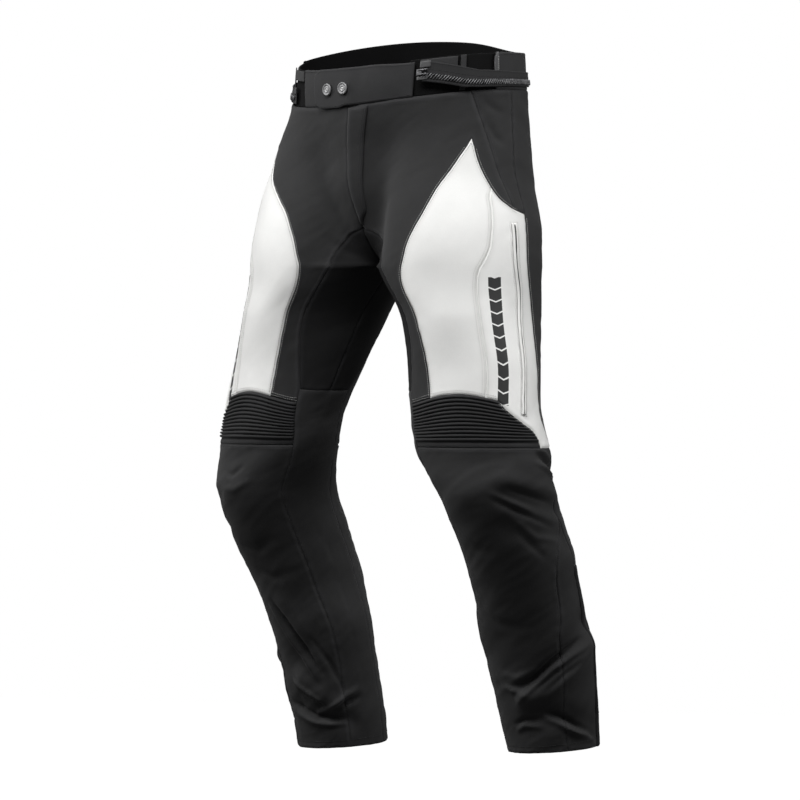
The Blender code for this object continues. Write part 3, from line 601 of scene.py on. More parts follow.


# Thigh panels
# The off-white fronts of the thighs: a coated polyester, paler and smoother than the black shell, cut to
# a point at the top and sewn down into the stretch knee.

# Its seam colour is darker than the cloth: dirt and painted shade along the seams.
white_shell = woven_finish("off_white_coated_polyester", "#eeeeec", "#f5f5f3", "#dadad7", 0.62,
                           depth=0.00005, sheen=0.05, crumple=0.0003)

front_side = seam_line(
    (-0.147, 0.419), (-0.162, 0.407), (-0.229, 0.400), (-0.250, 0.388), (-0.272, 0.370), (-0.366, 0.338),
    (-0.447, 0.314))


def white_right(height):
    return white_top(height) if height >= YOKE_END else front_side(height)


for side, tail in SIDES:
    sew("thigh_panel" + tail, side, [
        block(rows_down(APEX, RIBS_TOP), white_front, white_right, shares(0.085)),
    ], white_shell, pucker=0.0006, drape=(60, 0.0007))


# Side panels
# The off-white sides, each with a cargo pocket behind its zip. A strip runs on down past the outer end of
# the stretch knee. A row of even dark chevrons is printed beside the zip.

PRINT_TOP, PRINT_FOOT, PRINT_PITCH, PRINT_HALF = -0.276, -0.452, 0.0176, 0.0068
PRINT_TOP_AT, PRINT_FOOT_AT = 0.2015, 0.1765


def chevron_print(tree, place, ground):
    """Plain dark chevrons on a line that leans forward as it runs down."""
    split = put(tree, "ShaderNodeSeparateXYZ", links={"Vector": place})
    u, v = split.outputs["X"], split.outputs["Y"]
    lean = (PRINT_TOP_AT - PRINT_FOOT_AT) / (PRINT_TOP - PRINT_FOOT)
    middle = reckon(tree, "MULTIPLY_ADD", v, lean, PRINT_TOP_AT - PRINT_TOP * lean)
    off = reckon(tree, "ABSOLUTE", reckon(tree, "SUBTRACT", u, middle))
    slanted = reckon(tree, "MULTIPLY_ADD", off, -0.55, v)
    step = reckon(tree, "DIVIDE", reckon(tree, "SUBTRACT", slanted, PRINT_FOOT), PRINT_PITCH)
    bar = reckon(tree, "LESS_THAN", reckon(tree, "FRACT", step), 0.88)
    inside = reckon(tree, "MULTIPLY", reckon(tree, "LESS_THAN", off, PRINT_HALF),
                    reckon(tree, "MULTIPLY", reckon(tree, "GREATER_THAN", v, PRINT_FOOT),
                           reckon(tree, "LESS_THAN", v, PRINT_TOP)))
    ink = put(tree, "ShaderNodeMix", data_type="RGBA")
    tree.links.new(reckon(tree, "MULTIPLY", reckon(tree, "MULTIPLY", bar, inside), 0.985), ink.inputs[0])
    tree.links.new(ground, ink.inputs[6])
    ink.inputs[7].default_value = tone("#131314")
    return ink.outputs[2]


# Its seam colour is darker than the cloth: dirt and painted shade along the seams.
side_shell = woven_finish("off_white_side_polyester", "#f1f1ef", "#f8f8f6", "#dededb", 0.62, depth=0.00005,
                          sheen=0.05, crumple=0.0003, print_over=chevron_print)

strip_edge = seam_line(
    (-0.447, 0.340), (-0.461, 0.362), (-0.482, 0.403), (-0.498, 0.431), (-0.516, 0.443), (-0.526, 0.445))
cargo_line = seam_line((-0.198, 0.454), (-0.225, 0.456), (-0.280, 0.456), (-0.350, 0.440), (-0.463, 0.408))


def cargo_right(height):
    return white_top(height) if height > WHITE_TOP else side_seam(height)


def strip_start(height):
    return front_side(height) + (cargo_right(height) - front_side(height)) * 0.026 / 0.176


def pocket_pull(around, height):
    """Small gathers where the pocket's zip is sewn in."""
    ends = smooth((-0.186 - height) / 0.010) * smooth((height + 0.474) / 0.010)
    near = np.exp(-abs(around - cargo_line(height)) * LEG_GIRTH / 0.009) * ends
    return 0.0010 * noise.noise(Vector((around * 60, height * 120, 7.0))) * near


for side, tail in SIDES:
    places = shares(0.072)
    sew("side_panel" + tail, side, [
        block(rows_down(YOKE_END, RIBS_TOP), front_side, strip_start, shares(0.013)),
        block(rows_down(YOKE_END, RIBS_TOP), strip_start, cargo_right, places),
        block(rows_down(RIBS_TOP, KNEE_SEAM), strip_edge, side_seam, places),
    ], side_shell, relief=pocket_pull, pucker=0.0006, drape=(50, 0.0006))


# Back panels
# The black seat and backs of the thighs, one piece on each side from the waistband to the knee. The
# photograph doesn't show them, so they are plain.

gusset_back = seam_line(
    (-0.207, 1.000), (-0.214, 0.955), (-0.226, 0.918), (-0.243, 0.885), (-0.262, 0.865), (-0.290, 0.860),
    (-0.350, 0.868), (-0.390, 0.890), (-0.430, 0.930))


INNER_BACK = 0.93


def back_inner(height):
    if height >= CROTCH_SEAM:
        return 1.0
    return gusset_back(height) if height > GUSSET_END else INNER_BACK


for side, tail in SIDES:
    sew("back_panel" + tail, side, [
        block(rows_down(BAND_SEAM, KNEE_SEAM, COARSE_STEP), side_seam, back_inner, shares(0.235, COARSE_STEP)),
    ], black_shell, drape=(-25, 0.0016))


# Inner thighs
# Stretch cloth between the legs, a front and a back piece on each side that meet along the inseam. It is finer
# than the shell, and hardly any light reaches it; its colour is darker than the shell's, partly the cloth's own
# and partly painted shade.

# Darker than the shell: partly its own colour, partly painted shade between the legs.
stretch_cloth_with_painted_shade = woven_finish("black_stretch_twill_and_painted_shade", "#0c0c0d", "#131314", "#18181a", 0.9, thread=0.0012,
                             sheen=0.0, gloss=0.4)

for side, tail in SIDES:
    rows = rows_down(CROTCH_SEAM, GUSSET_END)
    sew("inner_thigh_front" + tail, side, [
        block(rows, 0.0, gusset_front, shares(0.070)),
    ], stretch_cloth_with_painted_shade)
    sew("inner_thigh_back" + tail, side, [
        block(rows, gusset_back, 1.0, shares(0.070)),
    ], stretch_cloth_with_painted_shade)


# Stretch knees
# Elastic cloth sewn in twelve cross ribs over each knee, with a plain strip under the last rib. The ribs
# are padded from behind and gather the cloth between them into dark grooves.

RIB_PITCH = (RIBS_TOP - RIBS_FOOT) / 12


def rib_relief(around, height):
    place = (RIBS_TOP - height) / RIB_PITCH
    if place > 12:
        return 0.0
    from_end = min(around - knee_inner(height), strip_edge(height) - around)
    end = min(1.0, max(0.0, from_end / 0.012))
    full = 1 + 0.25 * noise.noise(Vector((around * 30, np.floor(place) * 3.3, 0.5)))
    return (0.0036 * full * abs(np.sin(pi * place)) ** 0.6 - 0.0010) * (0.35 + 0.65 * end)


rib_cloth = woven_finish("black_elastic_rib", "#121213", "#1c1c1e", "#202022", 0.82, thread=0.0012)

for side, tail in SIDES:
    rows = [RIBS_TOP - (RIBS_TOP - RIBS_FOOT) * i / 108 for i in range(109)]
    rows = rows + [RIBS_FOOT - 0.003, KNEE_SEAM + 0.0048, KNEE_SEAM + 0.0026, KNEE_SEAM + 0.0011, KNEE_SEAM]
    sew("knee_ribs" + tail, side, [
        block(rows, knee_inner, strip_edge, shares(0.150)),
    ], rib_cloth, relief=rib_relief, pucker=0.0003, drape=(0, 0.0003))


# Lower legs
# The black shell below the knee: a wide shin, a narrow outer calf that widens towards the hem, a back of
# the calf and an inner piece that starts at the thigh gusset. The hems are turned up and stitched.

shin_outer = seam_line(
    (-0.526, 0.520), (-0.560, 0.500), (-0.600, 0.495), (-0.625, 0.490), (-0.650, 0.474), (-0.675, 0.430),
    (-0.700, 0.403), (-0.725, 0.392), (-0.750, 0.388), (-0.775, 0.376), (-0.802, 0.356), (-0.855, 0.343),
    (-0.963, 0.340))
calf_zip_seam = seam_line(
    (-0.526, 0.520), (-0.560, 0.500), (-0.600, 0.495), (-0.650, 0.497), (-0.700, 0.500), (-0.963, 0.500))


def inner_right(height):
    return 1.0 + knee_inner(height)


for side, tail in SIDES:
    for name, top, left, right, width, step, turn_under, slack in (
            ("shin_panel", KNEE_SEAM, knee_inner, shin_outer, 0.185, FINE_STEP, 0.0004, 0.0022),
            ("calf_outer", CALF_TOP, shin_outer, calf_zip_seam, 0.055, FINE_STEP, 0.0010, 0.0022),
            ("calf_back", KNEE_SEAM, calf_zip_seam, INNER_BACK, 0.195, CLOTH_STEP, 0.0010, 0.0024),
            ("inner_leg", GUSSET_END, INNER_BACK, inner_right, 0.075, CLOTH_STEP, 0.0004, 0.0020)):
        sew(name + tail, side, [block(rows_down(top, HEM, step), left, right, shares(width, step))],
            black_shell, turn_under=turn_under, drape=(28, slack))


# Cargo zips
# A covered zip in each side panel: two narrow folded lips of the white cloth meet over it. The lips part a
# little at the top, where the dark coil underneath shows.

CARGO_HALF = 0.0065


def lip_relief(around, height):
    across = min(1.0, abs(around - cargo_line(height)) / CARGO_HALF)
    parted = smooth((height + 0.262) / 0.040)
    rounded = np.sqrt(max(0.0, 1 - ((across - 0.55) / 0.47) ** 2))
    return 0.0016 * rounded - (0.0010 + 0.0008 * parted) * np.exp(-(across / (0.16 + 0.16 * parted)) ** 2)


coil_finish, coil_tree, coil_shader = new_finish("dark_nylon_coil", Roughness=0.5)
coil_place = put(coil_tree, "ShaderNodeUVMap", uv_map="cloth")
# The coil's turns: fine cross bands, lighter on the turns, with painted shade in the gaps between them.
coil_bands = put(coil_tree, "ShaderNodeTexWave", {"Scale": 160.0, "Distortion": 0.2},
                 {"Vector": coil_place.outputs["UV"]}, wave_type="BANDS", bands_direction="Y")
coil_gap_shade_ramp = put(coil_tree, "ShaderNodeValToRGB", links={"Fac": coil_bands.outputs["Fac"]})
coil_gap_shade_ramp.color_ramp.elements[0].color = tone("#0d0d0e")
coil_gap_shade_ramp.color_ramp.elements[1].color = tone("#3a3a3c")
coil_tree.links.new(coil_gap_shade_ramp.outputs["Color"], coil_shader.inputs["Base Color"])
coil_bump = put(coil_tree, "ShaderNodeBump", {"Strength": 0.6, "Distance": 0.0003},
                {"Height": coil_bands.outputs["Fac"]})
coil_tree.links.new(coil_bump.outputs["Normal"], coil_shader.inputs["Normal"])



def ladder(steps):
    """The faces of a strip that is four faces wide."""
    return [(5 * i + j, 5 * i + 5 + j, 5 * i + 6 + j, 5 * i + 1 + j) for i in range(steps) for j in range(4)]


for side, tail in SIDES:
    heights = rows_down(-0.198, -0.463)
    sew("cargo_zip" + tail, side, [
        block(heights, lambda h: cargo_line(h) - CARGO_HALF, lambda h: cargo_line(h) + CARGO_HALF,
              [i / 16 for i in range(17)]),
    ], side_shell, out=0.0016, relief=lip_relief, pucker=0.0004, turn_under=0.0006,
        thickness=0.0008, drape=(0, 0.0001))
    count = 70
    points, flat = [], []
    for i in range(count + 1):
        height = -0.200 - 0.261 * i / count
        parted = float(smooth((height + 0.262) / 0.030)) * float(smooth((-0.200 - height) / 0.004))
        half = 0.0005 + 0.0018 * parted
        for across in (-1, -0.5, 0, 0.5, 1):
            around = cargo_line(height) + across * half
            points.append(cloth(side, around, height, 0.0014 + 0.0007 * (1 - across ** 2) + 0.0006)[0])
            flat.append((around * LEG_GIRTH, height))
    quads = ladder(count)
    coil = make_piece("cargo_coil" + tail, points, [q[::side] for q in quads], [coil_finish],
                      uv=flat)
    add_wall(coil, 0.0012, -1)


# Calf zips
# A zip opens each lower leg at the outside, behind a black tape flap with a rounded edge. Small pale
# reflective tabs are pressed on beside it.


def flap_relief(around, height):
    across = (around - 0.490) / 0.022
    ending = -0.0012 * float(smooth((height + 0.760) / 0.050))
    ridges = 0.0010 * np.exp(-((across - 0.25) / 0.16) ** 2) + 0.0008 * np.exp(-((across - 0.80) / 0.14) ** 2)
    return ending + ridges


tape_finish = woven_finish("black_woven_zip_tape", "#171718", "#202022", "#28282a", thread=0.0011, sheen=0.04)

for side, tail in SIDES:
    sew("calf_zip" + tail, side, [
        block(rows_down(-0.702, HEM), 0.490, 0.512, [i / 12 for i in range(13)]),
    ], tape_finish, out=0.0022, relief=flap_relief, pucker=0.0004, turn_under=0.0022,
        thickness=0.0010, drape=(0, 0.0004))


def grained_finish(name, scale, detail, dark, light, bump, at=(0.0, 1.0), **shader_values):
    """A finish with one fine grain that varies its colour between two tones and its surface."""
    finish, tree, shader = new_finish(name, **shader_values)
    space = put(tree, "ShaderNodeTexCoord")
    grain = put(tree, "ShaderNodeTexNoise", {"Scale": scale, "Detail": detail},
                {"Vector": space.outputs["Object"]})
    ramp = put(tree, "ShaderNodeValToRGB", links={"Fac": grain.outputs["Fac"]})
    for element, place, colour in zip(ramp.color_ramp.elements, at, (dark, light)):
        element.position, element.color = place, tone(colour)
    tree.links.new(ramp.outputs["Color"], shader.inputs["Base Color"])
    if bump:
        rough = put(tree, "ShaderNodeBump", {"Strength": bump, "Distance": 0.0001},
                    {"Height": grain.outputs["Fac"]})
        tree.links.new(rough.outputs["Normal"], shader.inputs["Normal"])
    return finish, shader


# Reflective film, silver-grey and smooth, with the fine grain of its glass beads.
film_finish = grained_finish("silver_reflective_film", 1400.0, 2.0, "#2b2b2c", "#5e5e5e", 0.3,
                             Roughness=0.38, Metallic=0.25)[0]

# Columns: tab, top, foot, then where its left and right edges lie around the leg, at the top and at the foot.
FILM_TABS = (
    ("upper", -0.7120, -0.7225, 0.5360, 0.5520, 0.5380, 0.5560),
    ("middle", -0.7420, -0.7680, 0.5250, 0.5310, 0.5230, 0.5330),
    ("pointed", -0.7760, -0.8040, 0.5120, 0.5340, 0.5240, 0.5270),
    ("leaf", -0.8940, -0.9240, 0.4930, 0.4950, 0.4920, 0.5060),
)
for side, tail in SIDES:
    ground = BVHTree.FromPolygons(*sewn_faces[side])
    for tab, top, foot, left_top, right_top, left_foot, right_foot in FILM_TABS:
        points, flat = [], []
        for i in range(9):
            t = i / 8
            left = left_top + (left_foot - left_top) * t
            right = right_top + (right_foot - right_top) * t
            for j in range(5):
                around, height = left + (right - left) * j / 4, top + (foot - top) * t
                p, n = cloth(side, around, height, 0.0030)
                points.append(np.array(ground.find_nearest(Vector(p))[0]) + n * 0.0003)
                flat.append((around * LEG_GIRTH, height))
        quads = ladder(8)
        film = make_piece("film_" + tab + tail, points, [q[::side] for q in quads], [film_finish],
                          uv=flat)
        add_wall(film, 0.0005, 0)


# Fly flap
# A narrow black flap down the centre front covers the fly zip. Its free edge is on the wearer's left of the
# middle, and its foot is curved in to the centre seam.


def flap_edge(height):
    curved = 1 - 0.75 * float(smooth((-0.176 - height) / 0.024))
    return 0.002 + (0.056 - 0.032 * (-0.0135 - height) / 0.1865) * curved


def flap_crown(around, height):
    return 0.0007 * float(smooth((flap_edge(height) - around) / 0.010))


sew("fly_flap", +1, [
    block(rows_down(-0.0135, -0.200), 0.002, flap_edge, shares(0.024)),
], black_shell, out=0.0019, relief=flap_crown, pucker=0.0005, thickness=0.0010,
    drape=(0, 0.0006))


# Waistband
# A stiffened black band in five parts: two fronts that end in free edges, a back, and a recessed elastic
# piece at either side, whose near-black colour is its own black plus painted shade of the recess. The left
# front ends in a rounded tab that laps over the right one.

BAND_TOP, BAND_FOOT, BAND = 0.045, -0.0097, 0.0030
FRONT_END, BACK_START, TAB_END = 0.190, 0.445, -0.123
WAIST_GIRTH = 0.52


def waist_point(around, height, out):
    around, height, out = (np.asarray(value, float) for value in (around, height, out))
    return tipped(form(around, height) + outward(around, height) * out[..., None], height)


def value_at(thing, around):
    return thing(around) if callable(thing) else thing


def two_faces(columns, rows, point):
    """Points and faces of a flat piece whose front and back meet where it is no longer full."""
    points, front, back = [], {}, {}
    for i, s in enumerate(columns):
        for j, t in enumerate(rows):
            for grid, sign in ((front, 1), (back, -1)):
                spot, full = point(s, t, sign)
                if sign < 0 and full == 0:
                    back[i, j] = front[i, j]
                    continue
                grid[i, j] = len(points)
                points.append(spot)
    quads, which = [], []
    for i in range(len(columns) - 1):
        for j in range(len(rows) - 1):
            for grid, order, index in ((front, 1, 0), (back, -1, 1)):
                quads.append([grid[i, j], grid[i + 1, j], grid[i + 1, j + 1], grid[i, j + 1]][::order])
                which.append(index)
    return np.array(points), quads, which


def spaced(length, step, at_edge, clear):
    """Shares of a length, even in the middle and close together at both edges."""
    close = [d / length for d in at_edge]
    count = max(2, int(round(length / step)))
    inside = [i / count for i in range(1, count) if clear / length < i / count < 1 - clear / length]
    return close + inside + [1 - c for c in reversed(close)]


def rounded(share, span, size):
    """How full a piece is near its edges: 0 at an edge, 1 from so far in."""
    off = min(share, 1 - share) * span
    return np.sqrt(max(0.0, 1 - (1 - min(1.0, off / size)) ** 2))


def strip(name, start, end, foot, top, out, thickness, finish, slot, puff=0.0, crumple=0.0004, step=0.004,
          node=None, held="hung", back_finish=None, end_round=0.0016):
    """A strip of folded cloth that runs round the waist, with soft edges all round."""
    length = abs(end - start) * WAIST_GIRTH
    middle = value_at(top, (start + end) / 2) - value_at(foot, (start + end) / 2)
    columns = spaced(length, step, (0.0, 0.0003, 0.0008, 0.0018), 0.0026)
    rows = spaced(middle, step, (0.0, 0.0003, 0.0009, 0.0020), 0.0028)

    def point(s, t, sign):
        around = start + (end - start) * s
        low, high, stand = value_at(foot, around), value_at(top, around), value_at(out, around)
        height = low + (high - low) * t
        full = rounded(s, length, end_round) * rounded(t, high - low, thickness * 0.6)
        spot = Vector((around * WAIST_GIRTH * 30, height * 30, 1.7))
        wave = crumple * (noise.noise(spot) + 0.5 * noise.noise(spot * 3))
        bulge = (puff * 4 * t * (1 - t) + wave) * full if sign > 0 else 0
        return (around, height, stand - thickness / 2 + sign * thickness / 2 * full + bulge), full

    points, quads, which = two_faces(columns, rows, point)
    piece = make_piece("cloth_" + name, waist_point(*points.T), quads, [finish, back_finish or finish],
                       node, which, points[:, :2] * [WAIST_GIRTH, 1])
    return piece


def tab_out(around):
    return 0.0048 + (0.0008 - 0.0048) * float(smooth((around + 0.004) / 0.045))


def tab_foot(around):
    rounded = float(smooth((-0.095 - around) / 0.028))
    return BAND_FOOT - 0.0028 * float(smooth((-0.006 - around) / 0.02)) + 0.006 * rounded


def tab_top(around):
    rounded = float(smooth((-0.095 - around) / 0.028))
    return BAND_TOP - 0.006 * rounded - 0.0045 * float(smooth((around - 0.060) / 0.120))


band_finish = woven_finish("black_band_polyester", "#1b1b1c", "#242426", "#2c2c2e", sheen=0.05, crumple=0.0003)
band_lining = woven_finish("black_grip_lining", "#060606", "#0b0b0c", "#0d0d0d", 0.95, sheen=0.0, gloss=0.12)
# The elastic is darker than the band: black elastic with painted shade of its recess.
elastic_recess_shade_finish = woven_finish("black_ribbed_elastic_and_painted_recess_shade", "#060606", "#0c0c0d", "#101011", 0.95, thread=0.0030,
                              depth=0.0003, sheen=0.0, gloss=0.2)

strip("band_front_left", TAB_END, FRONT_END, tab_foot, tab_top, tab_out, BAND, band_finish, "black_shell",
      puff=0.0008, node="band_front_left", back_finish=band_lining)
strip("band_front_right", -FRONT_END, -0.005, BAND_FOOT, BAND_TOP, 0.0, BAND, band_finish, "black_shell",
      puff=0.0008, node="band_front_right", back_finish=band_lining)
strip("band_back", BACK_START, 2 - BACK_START, BAND_FOOT, BAND_TOP, 0.0, BAND, band_finish, "black_shell",
      puff=0.0008, node="band_back", back_finish=band_lining)
for side, tail in SIDES:
    start, end = (0.175, 0.460) if side > 0 else (-0.460, -0.175)
    strip("band_side" + tail, start, end, BAND_FOOT, 0.044, -0.0045, 0.0024, elastic_recess_shade_finish, "stretch_black",
          node="band_side" + tail, held="stretched", back_finish=band_lining)

# The front edges of the back band are bound with a paler grey tape, folded over and stitched.
binding_finish = woven_finish("grey_binding_tape", "#4a4a4b", "#626263", "#707071", 0.7, thread=0.0011,
                              sheen=0.1)


def binding_top(around):
    edge = around if around < 1 else 2 - around
    return 0.0455 - 0.010 * (1 - float(smooth((edge - 0.4405) / 0.010)))


for side, tail in SIDES:
    start, end = (0.4420, 0.4590) if side > 0 else (2 - 0.4590, 2 - 0.4420)
    strip("band_binding" + tail, start, end, 0.0005, binding_top, 0.0010, 0.0036, binding_finish, "black_shell",
          puff=0.0006, crumple=0.0002, step=0.0015)


# Adjuster straps and belt loops
# At each side a flat strap runs over the elastic from the front band and pulls the waist in, and a folded
# upright loop stands behind it for a belt.

strap_finish = woven_finish("black_strap_webbing", "#1c1c1d", "#262628", "#333335", 0.75, thread=0.0020,
                            depth=0.0003)
for side, tail in SIDES:
    def both(a, b):
        return (a, b) if side > 0 else (-b, -a)

    for name, start, end, foot, top, out, puff, step in (
            ("adjuster_strap", 0.2050, 0.3150, 0.0275, 0.0425, -0.0016, 0.0003, 0.003),
            ("belt_loop", 0.3240, 0.3420, -0.008, 0.0435, -0.0014, 0.0005, 0.0016)):
        strip(name + tail, *both(start, end), foot, top, out, 0.0018, strap_finish, "black_shell", puff=puff,
              node=name + tail, step=step)


# Connection zip
# The half of a coarse zip that joins the trousers to a jacket: a black tape round the sides and back, a
# row of slanted moulded teeth, and at its left end a box with two pins between two stiff grey tape ends.

TAPE_COLUMNS = "around foot top"
ZIP_TAPE = (
    (0.217, 0.0106, 0.0407), (0.270, 0.0040, 0.0340), (0.335, -0.0050, 0.0250), (0.378, -0.0065, 0.0195),
    (0.530, -0.0055, 0.0165), (1.470, -0.0055, 0.0165), (1.620, -0.0055, 0.0175), (1.750, -0.0060, 0.0180),
)
TAPE = 0.0016
TAPE_FREE, TAPE_SEWN, TAPE_CLOSE = 0.0085, 0.0034, 0.0018


def tape_out(around):
    free = float(smooth((0.465 - around) / 0.10))
    close = float(smooth((around - 1.562) / 0.05))
    return TAPE_SEWN + (TAPE_FREE - TAPE_SEWN) * free + (TAPE_CLOSE - TAPE_SEWN) * close


def tape_line(column):
    stations = [row[0] for row in ZIP_TAPE]
    values = [row[TAPE_COLUMNS.split().index(column)] for row in ZIP_TAPE]
    return lambda around: float(np.interp(around, stations, values))


tape_foot, tape_top = tape_line("foot"), tape_line("top")


def tape_height(around, share):
    return tape_foot(around) * (1 - share) + tape_top(around) * share


strip("connection_zip_tape", 0.217, 1.750, tape_foot, tape_top, tape_out, TAPE, tape_finish, "zip_tape",
      crumple=0.0003, step=0.0034, node="connection_zip_tape")

# Moulded zip plastic: black acetal with a slight shine, greyer where it has rubbed.
tooth_finish = grained_finish("moulded_black_acetal", 160.0, 3.0, "#3a3a3c", "#7c7c7e", 0.2, at=(0.35, 0.70),
                              Roughness=0.32)[0]


def repeat_tree(name, shape):
    """A Geometry Nodes tree that sets one small shape on every point, turned by the point's directions."""
    tree = bpy.data.node_groups.new(name, "GeometryNodeTree")
    face = tree.interface
    face.new_socket("Geometry", in_out="INPUT", socket_type="NodeSocketGeometry")
    for label, value in (("Width", 0.0006), ("Length", 0.0026), ("Height", 0.0006), ("Unevenness", 0.1)):
        face.new_socket(label, in_out="INPUT", socket_type="NodeSocketFloat").default_value = value
    face.new_socket("Seed", in_out="INPUT", socket_type="NodeSocketInt").default_value = 4
    face.new_socket("Finish", in_out="INPUT", socket_type="NodeSocketMaterial")
    face.new_socket("Geometry", in_out="OUTPUT", socket_type="NodeSocketGeometry")
    given = put(tree, "NodeGroupInput")
    run = put(tree, "GeometryNodeInputNamedAttribute", {"Name": "run"}, data_type="FLOAT_VECTOR")
    facing = put(tree, "GeometryNodeInputNamedAttribute", {"Name": "facing"}, data_type="FLOAT_VECTOR")
    turn = put(tree, "FunctionNodeAxesToRotation", links={0: facing.outputs[0], 1: run.outputs[0]},
               primary_axis="Z", secondary_axis="X")
    low = put(tree, "ShaderNodeMath", {0: 1.0}, {1: given.outputs["Unevenness"]}, operation="SUBTRACT")
    high = put(tree, "ShaderNodeMath", {0: 1.0}, {1: given.outputs["Unevenness"]}, operation="ADD")
    vary = put(tree, "FunctionNodeRandomValue", links={2: low.outputs[0], 3: high.outputs[0],
                                                       "Seed": given.outputs["Seed"]}, data_type="FLOAT")
    size = put(tree, "ShaderNodeCombineXYZ", links={
        "X": given.outputs["Length"], "Y": given.outputs["Width"], "Z": given.outputs["Height"]})
    scaled = put(tree, "ShaderNodeVectorMath", links={0: size.outputs[0], "Scale": vary.outputs[1]},
                 operation="SCALE")
    small = shape(tree)
    on_points = put(tree, "GeometryNodeInstanceOnPoints", links={
        "Points": given.outputs["Geometry"], "Instance": small, "Rotation": turn.outputs[0],
        "Scale": scaled.outputs[0]})
    real = put(tree, "GeometryNodeRealizeInstances", links={0: on_points.outputs[0]})
    shade = put(tree, "GeometryNodeSetShadeSmooth", links={0: real.outputs[0]})
    coat = put(tree, "GeometryNodeSetMaterial", links={
        "Geometry": shade.outputs[0], "Material": given.outputs["Finish"]})
    put(tree, "NodeGroupOutput", links={0: coat.outputs[0]})
    return tree


def repeat(name, tree, rows, finish, slot, node=None, **sizes):
    """Runs a repeat tree over rows of (point, run, facing) and keeps the result as one plain mesh."""
    points = np.array([row[0] for row in rows], float)
    mesh = bpy.data.meshes.new(name + "_points")
    mesh.from_pydata(points.tolist(), [], [])
    for label, k in (("run", 1), ("facing", 2)):
        attribute = mesh.attributes.new(label, "FLOAT_VECTOR", "POINT")
        attribute.data.foreach_set("vector", np.array([row[k] for row in rows], float).ravel())
    holder = bpy.data.objects.new(name + "_points", mesh)
    bpy.context.scene.collection.objects.link(holder)
    modifier = holder.modifiers.new("repeat", "NODES")
    modifier.node_group = tree
    sockets = {item.name: item.identifier for item in tree.interface.items_tree if item.in_out == "INPUT"}
    modifier[sockets["Finish"]] = finish
    for label, value in sizes.items():
        modifier[sockets[label]] = value
    plain = bpy.data.meshes.new_from_object(holder.evaluated_get(bpy.context.evaluated_depsgraph_get()))
    for label in ("run", "facing"):
        if label in plain.attributes:
            plain.attributes.remove(plain.attributes[label])
    if not plain.materials:
        plain.materials.append(finish)
    bpy.data.objects.remove(holder, do_unlink=True)
    piece = bpy.data.objects.new(name, plain)
    bpy.context.scene.collection.objects.link(piece)
    place_piece(piece, node)


def tooth_shape(tree):
    """A moulded tooth: a block whose corners are softened by one level of subdivision with firm edges."""
    box = put(tree, "GeometryNodeMeshCube", {"Size": (1, 1, 1)})
    return put(tree, "GeometryNodeSubdivisionSurface", {"Level": 1, "Edge Crease": 0.45},
               {"Mesh": box.outputs["Mesh"]}).outputs[0]


TOOTH_PITCH, TOOTH_SLANT = 0.0042, 0.75
CHAIN_START, CHAIN_END, CHAIN_SHARE = 0.2195, 1.746, 0.30
rows, around = [], CHAIN_START
while around < CHAIN_END:
    height, out = tape_height(around, CHAIN_SHARE), tape_out(around) + 0.0011
    p = waist_point(around, height, out)
    ahead = waist_point(around + 0.002, tape_height(around + 0.002, CHAIN_SHARE), out) - p
    facing = outward(around, height)
    ahead = ahead / np.linalg.norm(ahead)
    long_way = np.cross(facing, ahead) + ahead * TOOTH_SLANT
    rows.append((p, long_way / np.linalg.norm(long_way), facing))
    around += TOOTH_PITCH / WAIST_GIRTH
repeat("connection_zip_teeth", repeat_tree("zip_teeth", tooth_shape), rows, tooth_finish, "zip_plastic",
       "connection_zip_chain", Length=0.0104, Width=0.0017, Height=0.0026, Unevenness=0.06)


def plate(name, start, end, foot, top, out, thickness, finish, node=None, round_off=0.0012):
    """A small moulded plate that follows the waist, with softened edges."""
    wide, tall = abs(end - start) * WAIST_GIRTH, top - foot

    def point(u, v, sign):
        full = rounded(u, wide, round_off) * rounded(v, tall, round_off)
        return (start + (end - start) * u, foot + tall * v, out + (sign * full - 1) * thickness / 2), full

    points, quads, _ = two_faces(np.linspace(0, 1, 9), np.linspace(0, 1, 9), point)
    make_piece(name, waist_point(*points.T), quads, [finish], node,
               uv=points[:, :2] * [WAIST_GIRTH, 1])


# The tape ends are stiffened with a paler grey film.
end_finish = grained_finish("grey_tape_end_film", 700.0, 3.0, "#3d3d3e", "#585859", 0.4, Roughness=0.55)[0]

# Columns: plate, start, end, foot, top, how far out, thickness, finish and the solid it stands for.
for plate_row in (
        ("connection_zip_box", 0.1995, 0.2150, 0.0190, 0.0290, 0.0108, 0.0044, tooth_finish,
         "connection_zip_box"),
        ("zip_pin_upper", 0.2040, 0.2290, 0.0262, 0.0284, 0.0122, 0.0024, tooth_finish),
        ("zip_pin_lower", 0.2040, 0.2290, 0.0196, 0.0218, 0.0122, 0.0024, tooth_finish),
        ("tape_end_upper", 0.2085, 0.2370, 0.0297, 0.0398, 0.0098, 0.0012, end_finish),
        ("tape_end_lower", 0.2020, 0.2330, 0.0125, 0.0180, 0.0098, 0.0012, end_finish),
        ("tape_end_right", 1.7360, 1.7490, 0.0080, 0.0170, 0.0030, 0.0012, end_finish)):
    plate(*plate_row)


# Snap caps
# The visible halves of two press studs that close the tab: dark nickel-plated caps with pressed rings,
# their middles rubbed bright.

